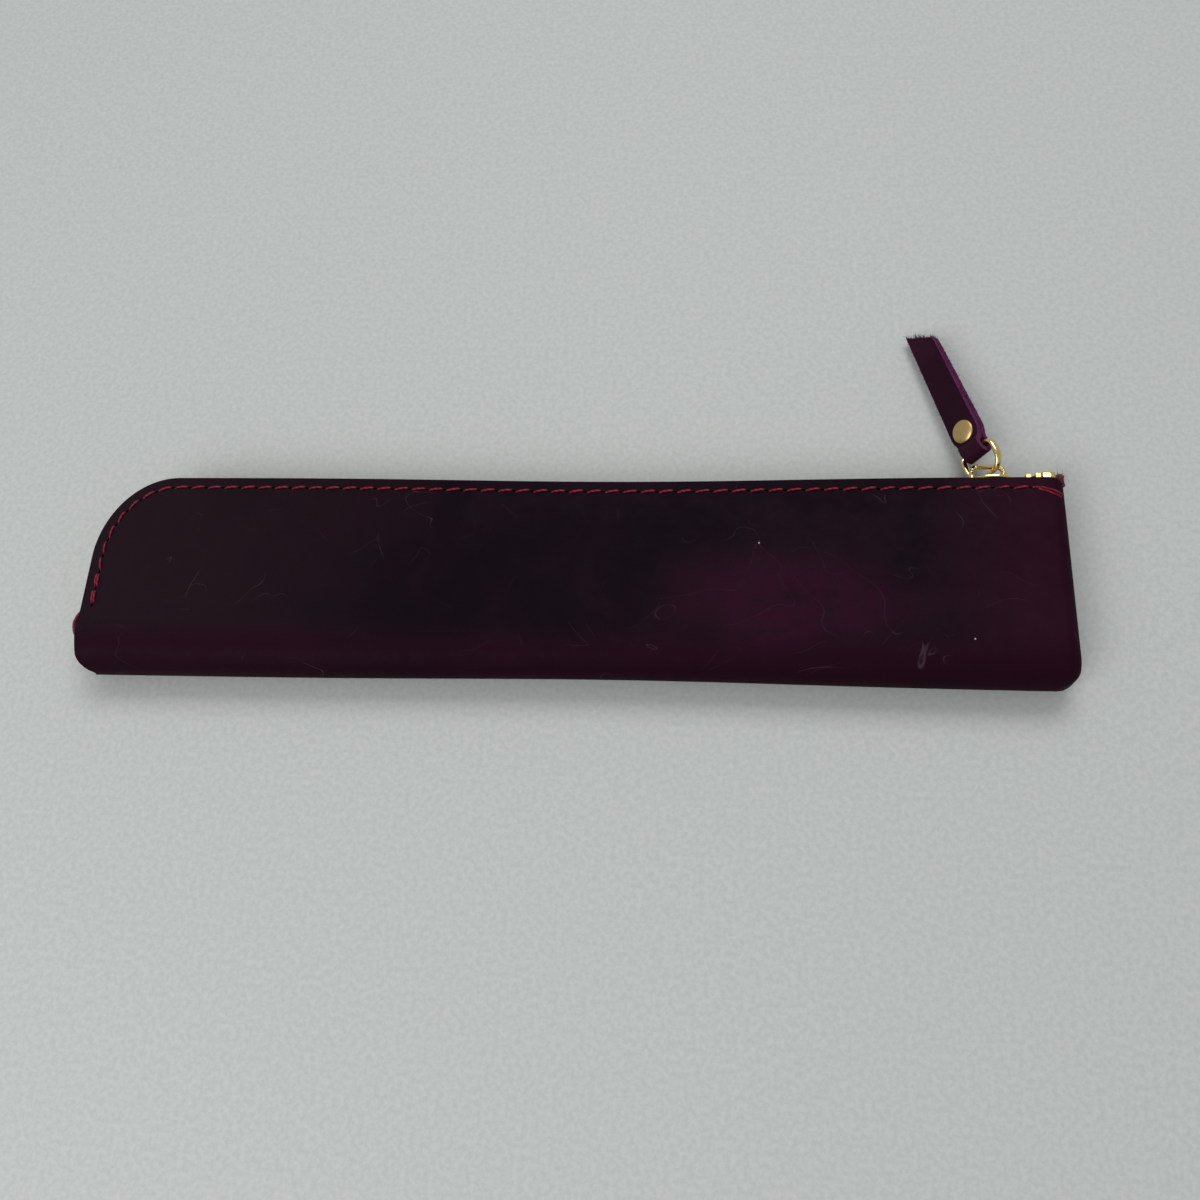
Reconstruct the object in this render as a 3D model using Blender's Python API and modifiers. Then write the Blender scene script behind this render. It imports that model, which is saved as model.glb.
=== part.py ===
"""Leather pencil case: a folded leather wrap, a metal zip round its long edge and its left end, and a pull strap."""

import math

import bmesh
import bpy
from mathutils import Matrix, Vector

# Leather wrap. The zip edge runs along +Y, the fold along -Y, the turned side seam stands at +X.
case_length = 0.210
case_height = 0.045
leather_thickness = 0.0016
fold_radius = 0.0058
zip_edge_half_thickness = 0.0050
thinning_depth = 0.012
corner_reach_x = 0.0168
corner_reach_y = 0.0195
fold_corner_left = 0.0037
fold_corner_right = 0.0042
panel_row_shares = (0.0, 0.05, 0.12, 0.22, 0.36, 0.52, 0.68, 0.84, 1.0)
fold_row_count = 7
corner_column_count = 8
straight_column_count = 9

# Turned seam at the right end: both panels curl in and run back inside as two flaps.
flap_half_gap = 0.0010
flap_turn_radius = 0.0012
flap_length = 0.0050
flap_edge_drop = 0.0016
curl_steps = 3

# Clearance kept between pieces that touch in the real case.
seat_gap = 0.0003

# Zip chain. Heights of its parts are measured outward from the leather's zip edge, setbacks from the right end.
tooth_pitch = 0.0020
tooth_half_width = 0.00035
tooth_tip = 0.0003
tooth_cord_inner = 0.0016
tooth_reach = 0.0022
tooth_low = -0.0017
tooth_top = 0.0005
parted_shift = 0.0009
parting_start_setback = 0.0169
parting_full_setback = 0.0133
first_tooth_setback = 0.0049
last_tooth_y = 0.0172
lift_start_setback = 0.0103
lift_full_setback = 0.0057
chain_lift = 0.0015
path_samples = 160

# Zip tapes.
tape_thickness = 0.0006
tape_depth = 0.0125
tape_end_setback = 0.0027
tape_end_y = 0.0085
tape_row_shares = (0.0, 0.5, 1.0)
tape_lift_shares = (1.4, 1.13, 0.8, 0.5, 0.2, 0.0)
tape_straight_shares = (0.8, 0.6, 0.4, 0.2)
left_fold_reach = 0.0028
left_fold_depth = 0.0030
left_fold_root_share = 0.8
left_fold_points = 7
left_fold_bottom_y = 0.0071
left_fold_top_y = 0.0144
right_fold_start_setback = 0.0030
right_fold_length = 0.0034
right_fold_low = -0.0009
right_fold_top = 0.0023
right_fold_stem_length = 0.0019
right_fold_stem_top = -0.0005

# Stops.
top_stop_setback = 0.0042
top_stop_length = 0.0029
top_stop_height = 0.0025
bottom_stop_width = 0.0014
bottom_stop_rise = 0.0002

# Slider.
slider_setback = 0.0145
slider_half_length = 0.0045
slider_nose_share = 0.62
plate_gap = 0.0003
upper_plate_thickness = 0.0005
upper_plate_half_width = 0.0039
flange_thickness = 0.0005
flange_drop = 0.0005
lower_plate_thickness = 0.0005
lower_plate_half_width = 0.0021
divider_half_width = 0.0003
divider_offset = 0.0020
divider_length = 0.0020
bridge_half_length = 0.0034
bridge_wire_radius = 0.00055
bridge_rise = 0.0036
bridge_corner = 0.0015

# Pull link. Its near end sits in the eye under the bridge.
link_eye_offset = 0.0003
link_eye_height = 0.0031
link_heading = math.radians(21.0)
link_roll = math.radians(53.0)
link_length = 0.0069
link_far_share = 0.40
link_squareness_share = 0.6
torus_tube_share = 0.25
link_half_width = 0.0042
link_wire_half_thickness = 0.0006
link_near_half_thickness = 0.00048
link_near_half_width = 0.00055
link_limb_half_width = 0.0010
link_far_half_width = 0.0008

# Pull strap, folded round the far bar of the link and held by one rivet.
strap_heading = math.radians(17.5)
strap_dip = math.radians(4.2)
strap_roll = math.radians(51.0)
strap_offset = 0.0001
strap_leather = 0.00115
strap_leaf_gap = 0.0003
strap_nose = 0.0024
strap_loop_half_opening = 0.0011
strap_rivet_distance = 0.0043
strap_length = 0.0311
strap_end_slant = 0.0042
strap_twist = math.radians(7.0)
strap_twist_start = 0.008
strap_twist_length = 0.021
strap_row_shares = (0.0, 0.08, 0.18, 0.29, 0.41, 0.53, 0.66, 0.8, 1.0)
strap_half_width_loop = 0.0026
strap_half_width_rivet = 0.0036
strap_half_width_end = 0.0029
strap_hole_radius = 0.0012
rivet_post_radius = 0.0009
rivet_cap_radius = 0.0026
rivet_cap_height = 0.0009
rivet_base_radius = 0.0024
rivet_base_thickness = 0.0006

# Threads.
stitch_inset = 0.00236
thread_radius = 0.00028
thread_flatness = 0.62
thread_clearance = 0.00012
seam_start_setback = 0.0048
seam_straight_steps = 4
last_hole_y = 0.0102
side_seam_inset = 0.0048
side_seam_start_y = 0.0085

parting_start_x = case_length - parting_start_setback
parting_full_x = case_length - parting_full_setback
lift_start_x = case_length - lift_start_setback
lift_full_x = case_length - lift_full_setback
tape_end_x = case_length - tape_end_setback
right_fold_start_x = case_length - right_fold_start_setback
top_stop_start_x = case_length - top_stop_setback
slider_centre_x = case_length - slider_setback
divider_start_x = slider_centre_x + divider_offset
link_eye_x = slider_centre_x + link_eye_offset
seam_start_x = case_length - seam_start_setback
mid_z = fold_radius
tooth_middle = (tooth_top + tooth_low) / 2
sheet_half = leather_thickness / 2
edge_inner_half_gap = zip_edge_half_thickness - leather_thickness
tape_centre_z = edge_inner_half_gap - seat_gap - tape_thickness / 2
tape_top = tooth_low - seat_gap
plate_low = tooth_top + plate_gap
plate_top = plate_low + upper_plate_thickness


def smooth(value):
    value = min(max(value, 0.0), 1.0)
    return value * value * (3.0 - 2.0 * value)


def to_part(x, y, z):
    """Case coordinates run from the left end and the fold; the part's origin is the middle of the underside."""
    return Vector((x - case_length / 2, y - case_height / 2, z))


def collection_of(name, hidden=False):
    made = bpy.data.collections.new(name)
    bpy.context.scene.collection.children.link(made)
    made.hide_render = hidden
    return made


def material_of(name, colour, metallic, roughness):
    made = bpy.data.materials.new(name)
    made.use_nodes = True
    shader = made.node_tree.nodes["Principled BSDF"]
    shader.inputs["Base Color"].default_value = (*colour, 1.0)
    shader.inputs["Metallic"].default_value = metallic
    shader.inputs["Roughness"].default_value = roughness
    made.diffuse_color = (*colour, 1.0)
    return made


def object_of(name, mesh, look, smooth_shading=True):
    made = bpy.data.objects.new(name, mesh)
    part.objects.link(made)
    mesh.materials.append(look)
    mesh.shade_smooth() if smooth_shading else mesh.shade_flat()
    return made


def mesh_from(bm, name):
    bmesh.ops.recalc_face_normals(bm, faces=bm.faces)
    mesh = bpy.data.meshes.new(name)
    bm.to_mesh(mesh)
    bm.free()
    return mesh


def sheet_mesh(name, columns):
    """An open surface through a grid of points, one list of points for each column."""
    bm = bmesh.new()
    grid = [[bm.verts.new(point) for point in column] for column in columns]
    for left, right in zip(grid, grid[1:]):
        for k in range(len(left) - 1):
            bm.faces.new((left[k], left[k + 1], right[k + 1], right[k]))
    return mesh_from(bm, name)


def thicken(made, thickness):
    solid = made.modifiers.new("thickness", "SOLIDIFY")
    solid.thickness = thickness
    solid.offset = 0.0
    solid.use_even_offset = True
    return solid


def prism(bm, outline, axis, start, end):
    """Extrudes a closed outline of points in the plane across the axis, from start to end along the axis."""
    verts = [bm.verts.new(axis(u, v, start)) for u, v in outline]
    face = bm.faces.new(verts)
    pushed = bmesh.ops.extrude_face_region(bm, geom=[face])["geom"]
    moved = [item for item in pushed if isinstance(item, bmesh.types.BMVert)]
    for vert, (u, v) in zip(moved, outline):
        vert.co = axis(u, v, end)


def block(bm, low, high):
    made = bmesh.ops.create_cube(bm, size=1.0)["verts"]
    centre = (Vector(low) + Vector(high)) / 2
    extent = Vector(high) - Vector(low)
    for vert in made:
        vert.co = to_part(*(centre + Vector(vert.co[k] * extent[k] for k in range(3))))
    return made


# The zip edge of the leather: straight along the top, a quarter ellipse at the left, then down the left end.


def corner_point(angle):
    x = corner_reach_x * (1.0 - math.cos(angle))
    y = case_height - corner_reach_y * (1.0 - math.sin(angle))
    normal = Vector((-math.cos(angle) / corner_reach_x, math.sin(angle) / corner_reach_y)).normalized()
    return Vector((x, y)), normal


def edge_path():
    """Points of the zip edge from the right end to the left end, with outward directions."""
    stations = [(Vector((case_length, case_height)), Vector((0.0, 1.0)))]
    for k in range(path_samples + 1):
        stations.append(corner_point(math.pi / 2 * (1.0 - k / path_samples)))
    stations.append((Vector((0.0, 0.0)), Vector((-1.0, 0.0))))
    return stations


path = edge_path()
path_lengths = [0.0]
for before, after in zip(path, path[1:]):
    path_lengths.append(path_lengths[-1] + (after[0] - before[0]).length)


def on_path(distance):
    """Point and outward direction at a distance along the zip edge from its right end."""
    for k in range(len(path) - 1):
        if distance <= path_lengths[k + 1]:
            share = (distance - path_lengths[k]) / (path_lengths[k + 1] - path_lengths[k])
            point = path[k][0].lerp(path[k + 1][0], share)
            if k in (0, len(path) - 2):
                return point, path[k if k else 1][1]
            return point, path[k][1].lerp(path[k + 1][1], share).normalized()
    return path[-1]


def edge_depth(x, y):
    """How far inside the zip edge a point of a panel lies."""
    across = max(0.0, corner_reach_x - x) / corner_reach_x
    along = max(0.0, y - case_height + corner_reach_y) / corner_reach_y
    total = across * across + along * along
    if total == 0.0:
        return corner_reach_y
    reach = (corner_reach_x * across * across + corner_reach_y * along * along) / total
    return (1.0 - math.sqrt(total)) * reach


def outer_half(x, y):
    """Half the outer thickness of the case at a point of its plan."""
    near_edge = 1.0 - smooth(edge_depth(x, y) / thinning_depth)
    off_fold = smooth((y - fold_radius) / fold_radius)
    return fold_radius - (fold_radius - zip_edge_half_thickness) * near_edge * off_fold


def corner_inset(y, radius):
    """How far the end of the fold is cut back so that the corner is round in plan."""
    rise = min(max(radius - (y - sheet_half), 0.0), radius)
    return radius - math.sqrt(radius * radius - rise * rise)


def zip_edge_y(x):
    if x >= corner_reach_x:
        return case_height
    return case_height - corner_reach_y * (1.0 - math.sqrt(1.0 - (1.0 - x / corner_reach_x) ** 2))


def wrap_rows(x, drop):
    """Rows of one column: (y, unit vector to the outside, distance from the middle line, middle y)."""
    top = zip_edge_y(x) - drop
    rows = []
    for share in panel_row_shares:
        y = top + (fold_radius - top) * share
        rows.append((y, (0.0, 1.0), outer_half(x, y) - sheet_half, y))
    back = [(y, (0.0, -1.0), half, middle) for y, _, half, middle in reversed(rows)]
    turn = []
    for k in range(1, fold_row_count + 1):
        angle = math.pi / 2 - math.pi * k / (fold_row_count + 1)
        half = fold_radius - sheet_half
        turn.append((fold_radius - half * math.cos(angle), (-math.cos(angle), math.sin(angle)), half, fold_radius))
    return rows + turn + back


def wrap_point(x, row, half=None):
    _, outward, own_half, middle = row
    half = own_half if half is None else half
    return to_part(x, middle + outward[0] * half, mid_z + outward[1] * half)


def leather_wrap():
    columns = []
    for k in range(corner_column_count):
        base = corner_reach_x * (1.0 - math.cos(math.pi / 2 * k / corner_column_count))
        share = 1.0 - base / corner_reach_x
        column = []
        for row in wrap_rows(base, 0.0):
            column.append(wrap_point(base + share * corner_inset(row[0], fold_corner_left), row))
        columns.append(column)
    curl_room = fold_radius + fold_corner_right
    last_straight = case_length - curl_room
    for k in range(straight_column_count):
        x = corner_reach_x + (last_straight - corner_reach_x) * k / (straight_column_count - 1)
        columns.append([wrap_point(x, row) for row in wrap_rows(x, 0.0)])
    x = case_length

    def curl_column(turned, back, length):
        drop = flap_edge_drop * smooth(turned)
        column = []
        for row in wrap_rows(x, drop):
            outer_radius = row[2] - flap_half_gap - flap_turn_radius
            rounding = corner_inset(row[0], fold_corner_right - outer_radius)
            first = math.pi / 2 * turned
            second = math.pi / 2 * back
            px = case_length - sheet_half - rounding * math.cos(first)
            px -= outer_radius * (1.0 - math.sin(first)) + flap_turn_radius * (1.0 - math.cos(second))
            inset = outer_radius * (1.0 - math.cos(first)) + flap_turn_radius * math.sin(second)
            column.append(wrap_point(px - length, row, row[2] - inset))
        return column

    for k in range(curl_steps + 1):
        columns.append(curl_column(k / curl_steps, 0.0, 0.0))
    for k in range(1, curl_steps + 1):
        columns.append(curl_column(1.0, k / curl_steps, 0.0))
    columns.append(curl_column(1.0, 1.0, flap_length))
    made = object_of("leather_wrap", sheet_mesh("leather_wrap", columns), leather)
    thicken(made, leather_thickness)


# The zip.


def lift_at(x, y):
    """The chain stands a little higher beyond the slider, where the rows have parted."""
    if y < case_height - seat_gap:
        return 0.0
    return chain_lift * smooth((x - lift_start_x) / (lift_full_x - lift_start_x))


def parting_at(x, y):
    if y < case_height - seat_gap:
        return 0.0
    return parted_shift * smooth((x - parting_start_x) / (parting_full_x - parting_start_x))


def along_edge(point, normal, across, height, z):
    """Local place on the zip edge: across runs along the edge, height outward from it, z up from the middle."""
    tangent = Vector((normal.y, -normal.x))
    place = point + tangent * across + normal * height
    return to_part(place.x, place.y, mid_z + z)


def zip_tape(name, side):
    stations = [(Vector((tape_end_x, case_height)), Vector((0.0, 1.0)))]
    places = [lift_start_x + (lift_full_x - lift_start_x) * share for share in tape_lift_shares]
    places += [corner_reach_x + (lift_start_x - corner_reach_x) * share for share in tape_straight_shares]
    stations += [(Vector((x, case_height)), Vector((0.0, 1.0))) for x in places]
    for k in range(corner_column_count + 1):
        stations.append(corner_point(math.pi / 2 * (1.0 - k / corner_column_count)))
    stations.append((Vector((0.0, tape_end_y)), Vector((-1.0, 0.0))))
    columns = []
    for point, normal in stations:
        top = tape_top + lift_at(point.x, point.y)
        column = []
        for share in tape_row_shares:
            height = top + (-tape_depth - top) * share
            column.append(along_edge(point, normal, 0.0, height, side * tape_centre_z))
        columns.append(column)
    made = object_of(name, sheet_mesh(name, columns), fabric)
    thicken(made, tape_thickness)
    return made


def tape_end_folds(tape):
    """The ends of the front tape, folded over and showing past the leather at both ends of the zip."""
    inner = tape_centre_z - tape_thickness / 2 - seat_gap
    outer = tape_centre_z + tape_thickness / 4
    bm = bmesh.new()
    middle = (left_fold_bottom_y + left_fold_top_y) / 2
    reach = (left_fold_top_y - left_fold_bottom_y) / 2
    outline = [(left_fold_depth, middle + reach * left_fold_root_share), (left_fold_depth, middle - reach * left_fold_root_share)]
    for k in range(left_fold_points):
        turn = math.pi * (k / (left_fold_points - 1) - 0.5)
        outline.append((-left_fold_reach * math.cos(turn), middle + reach * math.sin(turn)))
    prism(bm, outline, lambda u, v, w: to_part(u, v, mid_z + w), -inner, outer)
    left = bpy.data.objects.new("left_end_fold", mesh_from(bm, "left_end_fold"))
    cutters.objects.link(left)
    bm = bmesh.new()
    knob_start_x = right_fold_start_x + right_fold_stem_length
    knob_end_x = right_fold_start_x + right_fold_length
    outline = [(right_fold_start_x, right_fold_low), (knob_end_x, right_fold_low), (knob_end_x, right_fold_top)]
    outline += [(knob_start_x, right_fold_top), (knob_start_x, right_fold_stem_top), (right_fold_start_x, right_fold_stem_top)]
    prism(bm, outline, lambda u, v, w: to_part(u, case_height + v, mid_z + w), -inner, tape_centre_z - tape_thickness / 4)
    right = bpy.data.objects.new("right_end_fold", mesh_from(bm, "right_end_fold"))
    cutters.objects.link(right)
    boolean(tape, left, "UNION")
    boolean(tape, right, "UNION")


def teeth_row(name, side, offset):
    """One row of teeth with the corded edge that they are clamped on: a comb-shaped surface, thickened inward."""
    bm = bmesh.new()
    start = first_tooth_setback + offset
    half = tooth_half_width
    levels = (tooth_reach, tooth_cord_inner, -tooth_tip)
    count = 0
    last = None
    while True:
        centre = start + count * tooth_pitch
        point, normal = on_path(centre)
        if point.x < corner_reach_x and point.y < last_tooth_y:
            break
        shift = parting_at(point.x, point.y)
        lift = lift_at(point.x, point.y)
        place = [
            [bm.verts.new(along_edge(point, normal, across, tooth_middle + lift, side * (z + shift))) for z in levels]
            for across in (half, -half)
        ]
        for k in range(len(levels) - 1):
            bm.faces.new((place[0][k], place[0][k + 1], place[1][k + 1], place[1][k]))
        if last:
            bm.faces.new((last[1][0], last[1][1], place[0][1], place[0][0]))
        last = place
        count += 1
    made = object_of(name, mesh_from(bm, name), brass, False)
    thicken(made, tooth_top - tooth_low)
    return made


def top_stop(name, side):
    bm = bmesh.new()
    inner = parted_shift - tooth_tip
    outer = edge_inner_half_gap - seat_gap
    low_height = tape_top + chain_lift + seat_gap
    z_low, z_high = sorted((mid_z + side * inner, mid_z + side * outer))
    corners = block(
        bm,
        (top_stop_start_x, case_height + low_height, z_low),
        (top_stop_start_x + top_stop_length, case_height + low_height + top_stop_height, z_high),
    )
    edges = list({edge for vert in corners for edge in vert.link_edges})
    bmesh.ops.bevel(bm, geom=edges, offset=seat_gap, segments=1, affect="EDGES", profile=0.5)
    return object_of(name, mesh_from(bm, name), brass, False)


def bottom_stop():
    bm = bmesh.new()
    low_y = last_tooth_y - tooth_half_width - seat_gap - bottom_stop_width
    corners = block(
        bm,
        (-tooth_top - bottom_stop_rise, low_y, mid_z - tooth_reach),
        (-tooth_low, low_y + bottom_stop_width, mid_z + tooth_reach),
    )
    edges = list({edge for vert in corners for edge in vert.link_edges})
    bmesh.ops.bevel(bm, geom=edges, offset=seat_gap, segments=1, affect="EDGES", profile=0.5)
    return object_of("bottom_stop", mesh_from(bm, "bottom_stop"), brass, False)


def slider_outline(half_width):
    """Plan of a slider plate: broad towards the parted rows, narrower at the closing end."""
    narrow = half_width * slider_nose_share
    half = slider_half_length
    return [
        (-half, -narrow),
        (-half * 0.2, -half_width),
        (half * 0.8, -half_width),
        (half, -half_width * 0.8),
        (half, half_width * 0.8),
        (half * 0.8, half_width),
        (-half * 0.2, half_width),
        (-half, narrow),
    ]


def cube_object(name, low, high, home):
    bm = bmesh.new()
    block(bm, low, high)
    made = bpy.data.objects.new(name, mesh_from(bm, name))
    home.objects.link(made)
    return made


def boolean(target, tool, operation):
    cut = target.modifiers.new(tool.name, "BOOLEAN")
    cut.operation = operation
    cut.solver = "EXACT"
    cut.object = tool
    return cut


def slider_body():
    axis = lambda u, v, w: to_part(slider_centre_x + u, case_height + w, mid_z + v)
    bm = bmesh.new()
    prism(bm, slider_outline(upper_plate_half_width), axis, plate_low - flange_drop, plate_top)
    made = object_of("slider_body", mesh_from(bm, "slider_body"), brass, False)
    inner = upper_plate_half_width - flange_thickness
    channel = cube_object(
        "slider_channel",
        (slider_centre_x - 2 * slider_half_length, case_height + plate_low - 2 * flange_drop, mid_z - inner),
        (slider_centre_x + 2 * slider_half_length, case_height + plate_low, mid_z + inner),
        cutters,
    )
    boolean(made, channel, "DIFFERENCE")
    bm = bmesh.new()
    low_top = tape_top
    prism(bm, slider_outline(lower_plate_half_width), axis, low_top - lower_plate_thickness, low_top)
    lower = bpy.data.objects.new("slider_lower_plate", mesh_from(bm, "slider_lower_plate"))
    cutters.objects.link(lower)
    divider = cube_object(
        "slider_divider",
        (divider_start_x, case_height + low_top - lower_plate_thickness / 2, mid_z - divider_half_width),
        (divider_start_x + divider_length, case_height + plate_low + upper_plate_thickness / 2, mid_z + divider_half_width),
        cutters,
    )
    boolean(made, lower, "UNION")
    boolean(made, divider, "UNION")
    edge = made.modifiers.new("edges", "BEVEL")
    edge.width = seat_gap / 2
    edge.segments = 1
    edge.limit_method = "ANGLE"
    return made


def slider_bridge():
    curve = bpy.data.curves.new("slider_bridge", "CURVE")
    curve.dimensions = "3D"
    curve.bevel_depth = bridge_wire_radius
    curve.bevel_resolution = 2
    curve.use_fill_caps = True
    foot = plate_top + seat_gap
    top = plate_top + bridge_rise
    points = [(-bridge_half_length, foot)]
    for k in range(5):
        turn = math.pi / 2 * k / 4
        points.append((-bridge_half_length + bridge_corner * (1 - math.cos(turn)), top - bridge_corner * (1 - math.sin(turn))))
    points += [(-u, v) for u, v in reversed(points)]
    spline = curve.splines.new("POLY")
    spline.points.add(len(points) - 1)
    for place, (u, v) in zip(spline.points, points):
        place.co = (*to_part(slider_centre_x + u, case_height + v, mid_z), 1.0)
    made = bpy.data.objects.new("slider_bridge", curve)
    part.objects.link(made)
    curve.materials.append(brass)
    weld = made.modifiers.new("caps", "WELD")
    weld.merge_threshold = 0.00001
    return made


# The pull: each piece is drawn in its own frame, x across, y away from the slider, z out of its face.


def frame_at(origin, heading, dip, roll):
    """A frame whose y axis points along the pull, turned left of +Y by heading, tipped down by dip, rolled right edge up."""
    turn = Matrix.Rotation(heading, 4, "Z") @ Matrix.Rotation(-dip, 4, "X") @ Matrix.Rotation(-roll, 4, "Y")
    return Matrix.Translation(origin) @ turn


link_origin = to_part(link_eye_x, case_height + link_eye_height, mid_z)
link_frame = frame_at(link_origin, link_heading, 0.0, link_roll)
bar_centre = link_frame @ Vector((-strap_offset, link_length, 0.0))
strap_frame = frame_at(bar_centre, strap_heading, strap_dip, strap_roll)


def axis_empty(name, place, parent=None):
    made = bpy.data.objects.new(name, None)
    part.objects.link(made)
    made.matrix_world = Matrix.Translation(place)
    if parent:
        made.parent = parent
        made.matrix_parent_inverse = parent.matrix_world.inverted()
    return made


def link_ring_point(turn, near, reach):
    """Centre line of the ring and its outward direction: round towards the slider, squarer at the far bar."""
    power = link_squareness_share if math.sin(turn) > 0 else 0.5 + link_squareness_share / 2
    def place(angle):
        across = math.copysign(abs(math.cos(angle)) ** power, math.cos(angle))
        ahead = math.copysign(abs(math.sin(angle)) ** power, math.sin(angle))
        return Vector((link_half_width * across, near + reach * ahead, 0.0))
    step = math.pi / 720
    along = (place(turn + step) - place(turn - step)).normalized()
    return place(turn), Vector((along.y, -along.x, 0.0))


def pull_link(parent):
    bpy.ops.mesh.primitive_torus_add(major_segments=36, minor_segments=10, major_radius=1.0, minor_radius=torus_tube_share)
    made = bpy.context.object
    made.name = "pull_link"
    mesh = made.data
    mesh.name = "pull_link"
    for vert in mesh.vertices:
        turn = math.atan2(vert.co.y, vert.co.x)
        radial = (math.hypot(vert.co.x, vert.co.y) - 1.0) / torus_tube_share
        rise = vert.co.z / torus_tube_share
        far = link_length * link_far_share
        near = link_length - far
        reach = far if math.sin(turn) > 0 else near
        limb = abs(math.cos(turn)) ** 2
        end = link_far_half_width if math.sin(turn) > 0 else link_near_half_width
        half_width = end + (link_limb_half_width - end) * limb
        centre, outward = link_ring_point(turn, near, reach)
        near_share = smooth(-math.sin(turn))
        half_thickness = link_wire_half_thickness + (link_near_half_thickness - link_wire_half_thickness) * near_share
        vert.co = centre + outward * radial * half_thickness + Vector((0.0, 0.0, rise * half_width))
    mesh.materials.append(brass)
    mesh.shade_smooth()
    for home in made.users_collection:
        home.objects.unlink(made)
    part.objects.link(made)
    made.matrix_world = link_frame
    made.parent = parent
    made.matrix_parent_inverse = parent.matrix_world.inverted()
    return made


def strap_line():
    """Middle line of the folded strap in its y-z plane, from the end of the lower leaf round the loop to the end of the upper."""
    leaf = strap_leaf_gap / 2 + strap_leather / 2
    loop = strap_loop_half_opening + strap_leather / 2
    nose = strap_nose - strap_leather / 2
    upper = [(nose * -math.cos(a), loop * math.sin(a)) for a in (math.pi / 2 * k / 5 for k in range(1, 6))]
    settle = strap_rivet_distance - rivet_cap_radius - seat_gap
    upper.append((settle * 0.45, loop * 0.92))
    upper.append((settle * 0.75, loop * 0.66 + leaf * 0.2))
    upper.append((settle, leaf))
    clear = strap_rivet_distance + 1.3 * strap_hole_radius
    for share in strap_row_shares:
        upper.append((clear + (strap_length - clear) * share, leaf))
    lower = [(y, -z) for y, z in reversed(upper)]
    return lower + [(-nose, 0.0)] + upper


def strap_half_width(y):
    if y <= strap_rivet_distance:
        share = smooth(y / strap_rivet_distance)
        return strap_half_width_loop + (strap_half_width_rivet - strap_half_width_loop) * share
    share = (y - strap_rivet_distance) / (strap_length - strap_rivet_distance)
    return strap_half_width_rivet + (strap_half_width_end - strap_half_width_rivet) * share


def strap_point(share, y, z):
    """The ring holds the strap rolled up; past the rivet it turns flatter, and its end is cut at a slant."""
    turn = strap_twist * smooth((y - strap_twist_start) / strap_twist_length)
    along = max(0.0, y - strap_twist_start) / (strap_length - strap_twist_start)
    slanted = y - strap_end_slant / 2 * share * along ** 3
    return Matrix.Rotation(turn, 3, "Y") @ Vector((strap_half_width(y) * share, slanted, z))


def pull_strap(parent):
    columns = []
    for share in (-1.0, -0.5, 0.0, 0.5, 1.0):
        columns.append([strap_point(share, y, z) for y, z in strap_line()])
    made = object_of("pull_strap", sheet_mesh("pull_strap", columns), leather_strap)
    thicken(made, strap_leather)
    made.matrix_world = strap_frame
    bpy.ops.mesh.primitive_cylinder_add(vertices=16, radius=strap_hole_radius, depth=8 * strap_leather)
    hole = bpy.context.object
    hole.name = "strap_hole"
    for home in hole.users_collection:
        home.objects.unlink(hole)
    cutters.objects.link(hole)
    hole.matrix_world = strap_frame @ Matrix.Translation((0.0, strap_rivet_distance, 0.0))
    boolean(made, hole, "DIFFERENCE")
    made.parent = parent
    made.matrix_parent_inverse = parent.matrix_world.inverted()
    return made


def turned(name, profile, look, parent):
    """A solid of revolution about the rivet's axis: profile at +X, from top to bottom."""
    mesh = bpy.data.meshes.new(name)
    mesh.from_pydata([(x, 0.0, z) for x, z in profile], [(k, k + 1) for k in range(len(profile) - 1)], [])
    made = object_of(name, mesh, look)
    spin = made.modifiers.new("turn", "SCREW")
    spin.axis = "Z"
    spin.steps = 24
    spin.render_steps = 24
    spin.use_merge_vertices = True
    spin.merge_threshold = 0.00001
    made.matrix_world = strap_frame @ Matrix.Translation((0.0, strap_rivet_distance, 0.0))
    made.parent = parent
    made.matrix_parent_inverse = parent.matrix_world.inverted()
    return made


def rivet(parent):
    face = strap_leaf_gap / 2 + strap_leather
    cap_low = face + seat_gap / 2
    cap_top = cap_low + rivet_cap_height
    post_end = -face + seat_gap
    profile = [(0.0, cap_top)]
    for k in range(1, 6):
        turn = math.pi / 2 * k / 5
        profile.append((rivet_cap_radius * math.sin(turn), cap_low + seat_gap + (cap_top - cap_low - seat_gap) * math.cos(turn)))
    profile += [(rivet_cap_radius, cap_low), (rivet_post_radius, cap_low), (rivet_post_radius, post_end), (0.0, post_end)]
    turned("rivet_cap", profile, brass, parent)
    base_top = -face - seat_gap / 2
    base_low = base_top - rivet_base_thickness
    profile = [(0.0, base_top), (rivet_base_radius, base_top), (rivet_base_radius, base_low + seat_gap)]
    profile += [(rivet_base_radius - seat_gap, base_low), (0.0, base_low)]
    turned("rivet_base", profile, brass, parent)


# Threads: each lockstitch seam is one thread lying on the leather.


def thread_strip(name, centres, sides):
    """A thread along its centre points, with the direction across it at each point."""
    columns = []
    for centre, across in zip(centres, sides):
        columns.append([centre - across * thread_radius, centre + across * thread_radius])
    made = object_of(name, sheet_mesh(name, columns), thread)
    thicken(made, 2 * thread_radius * thread_flatness)
    return made


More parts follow.
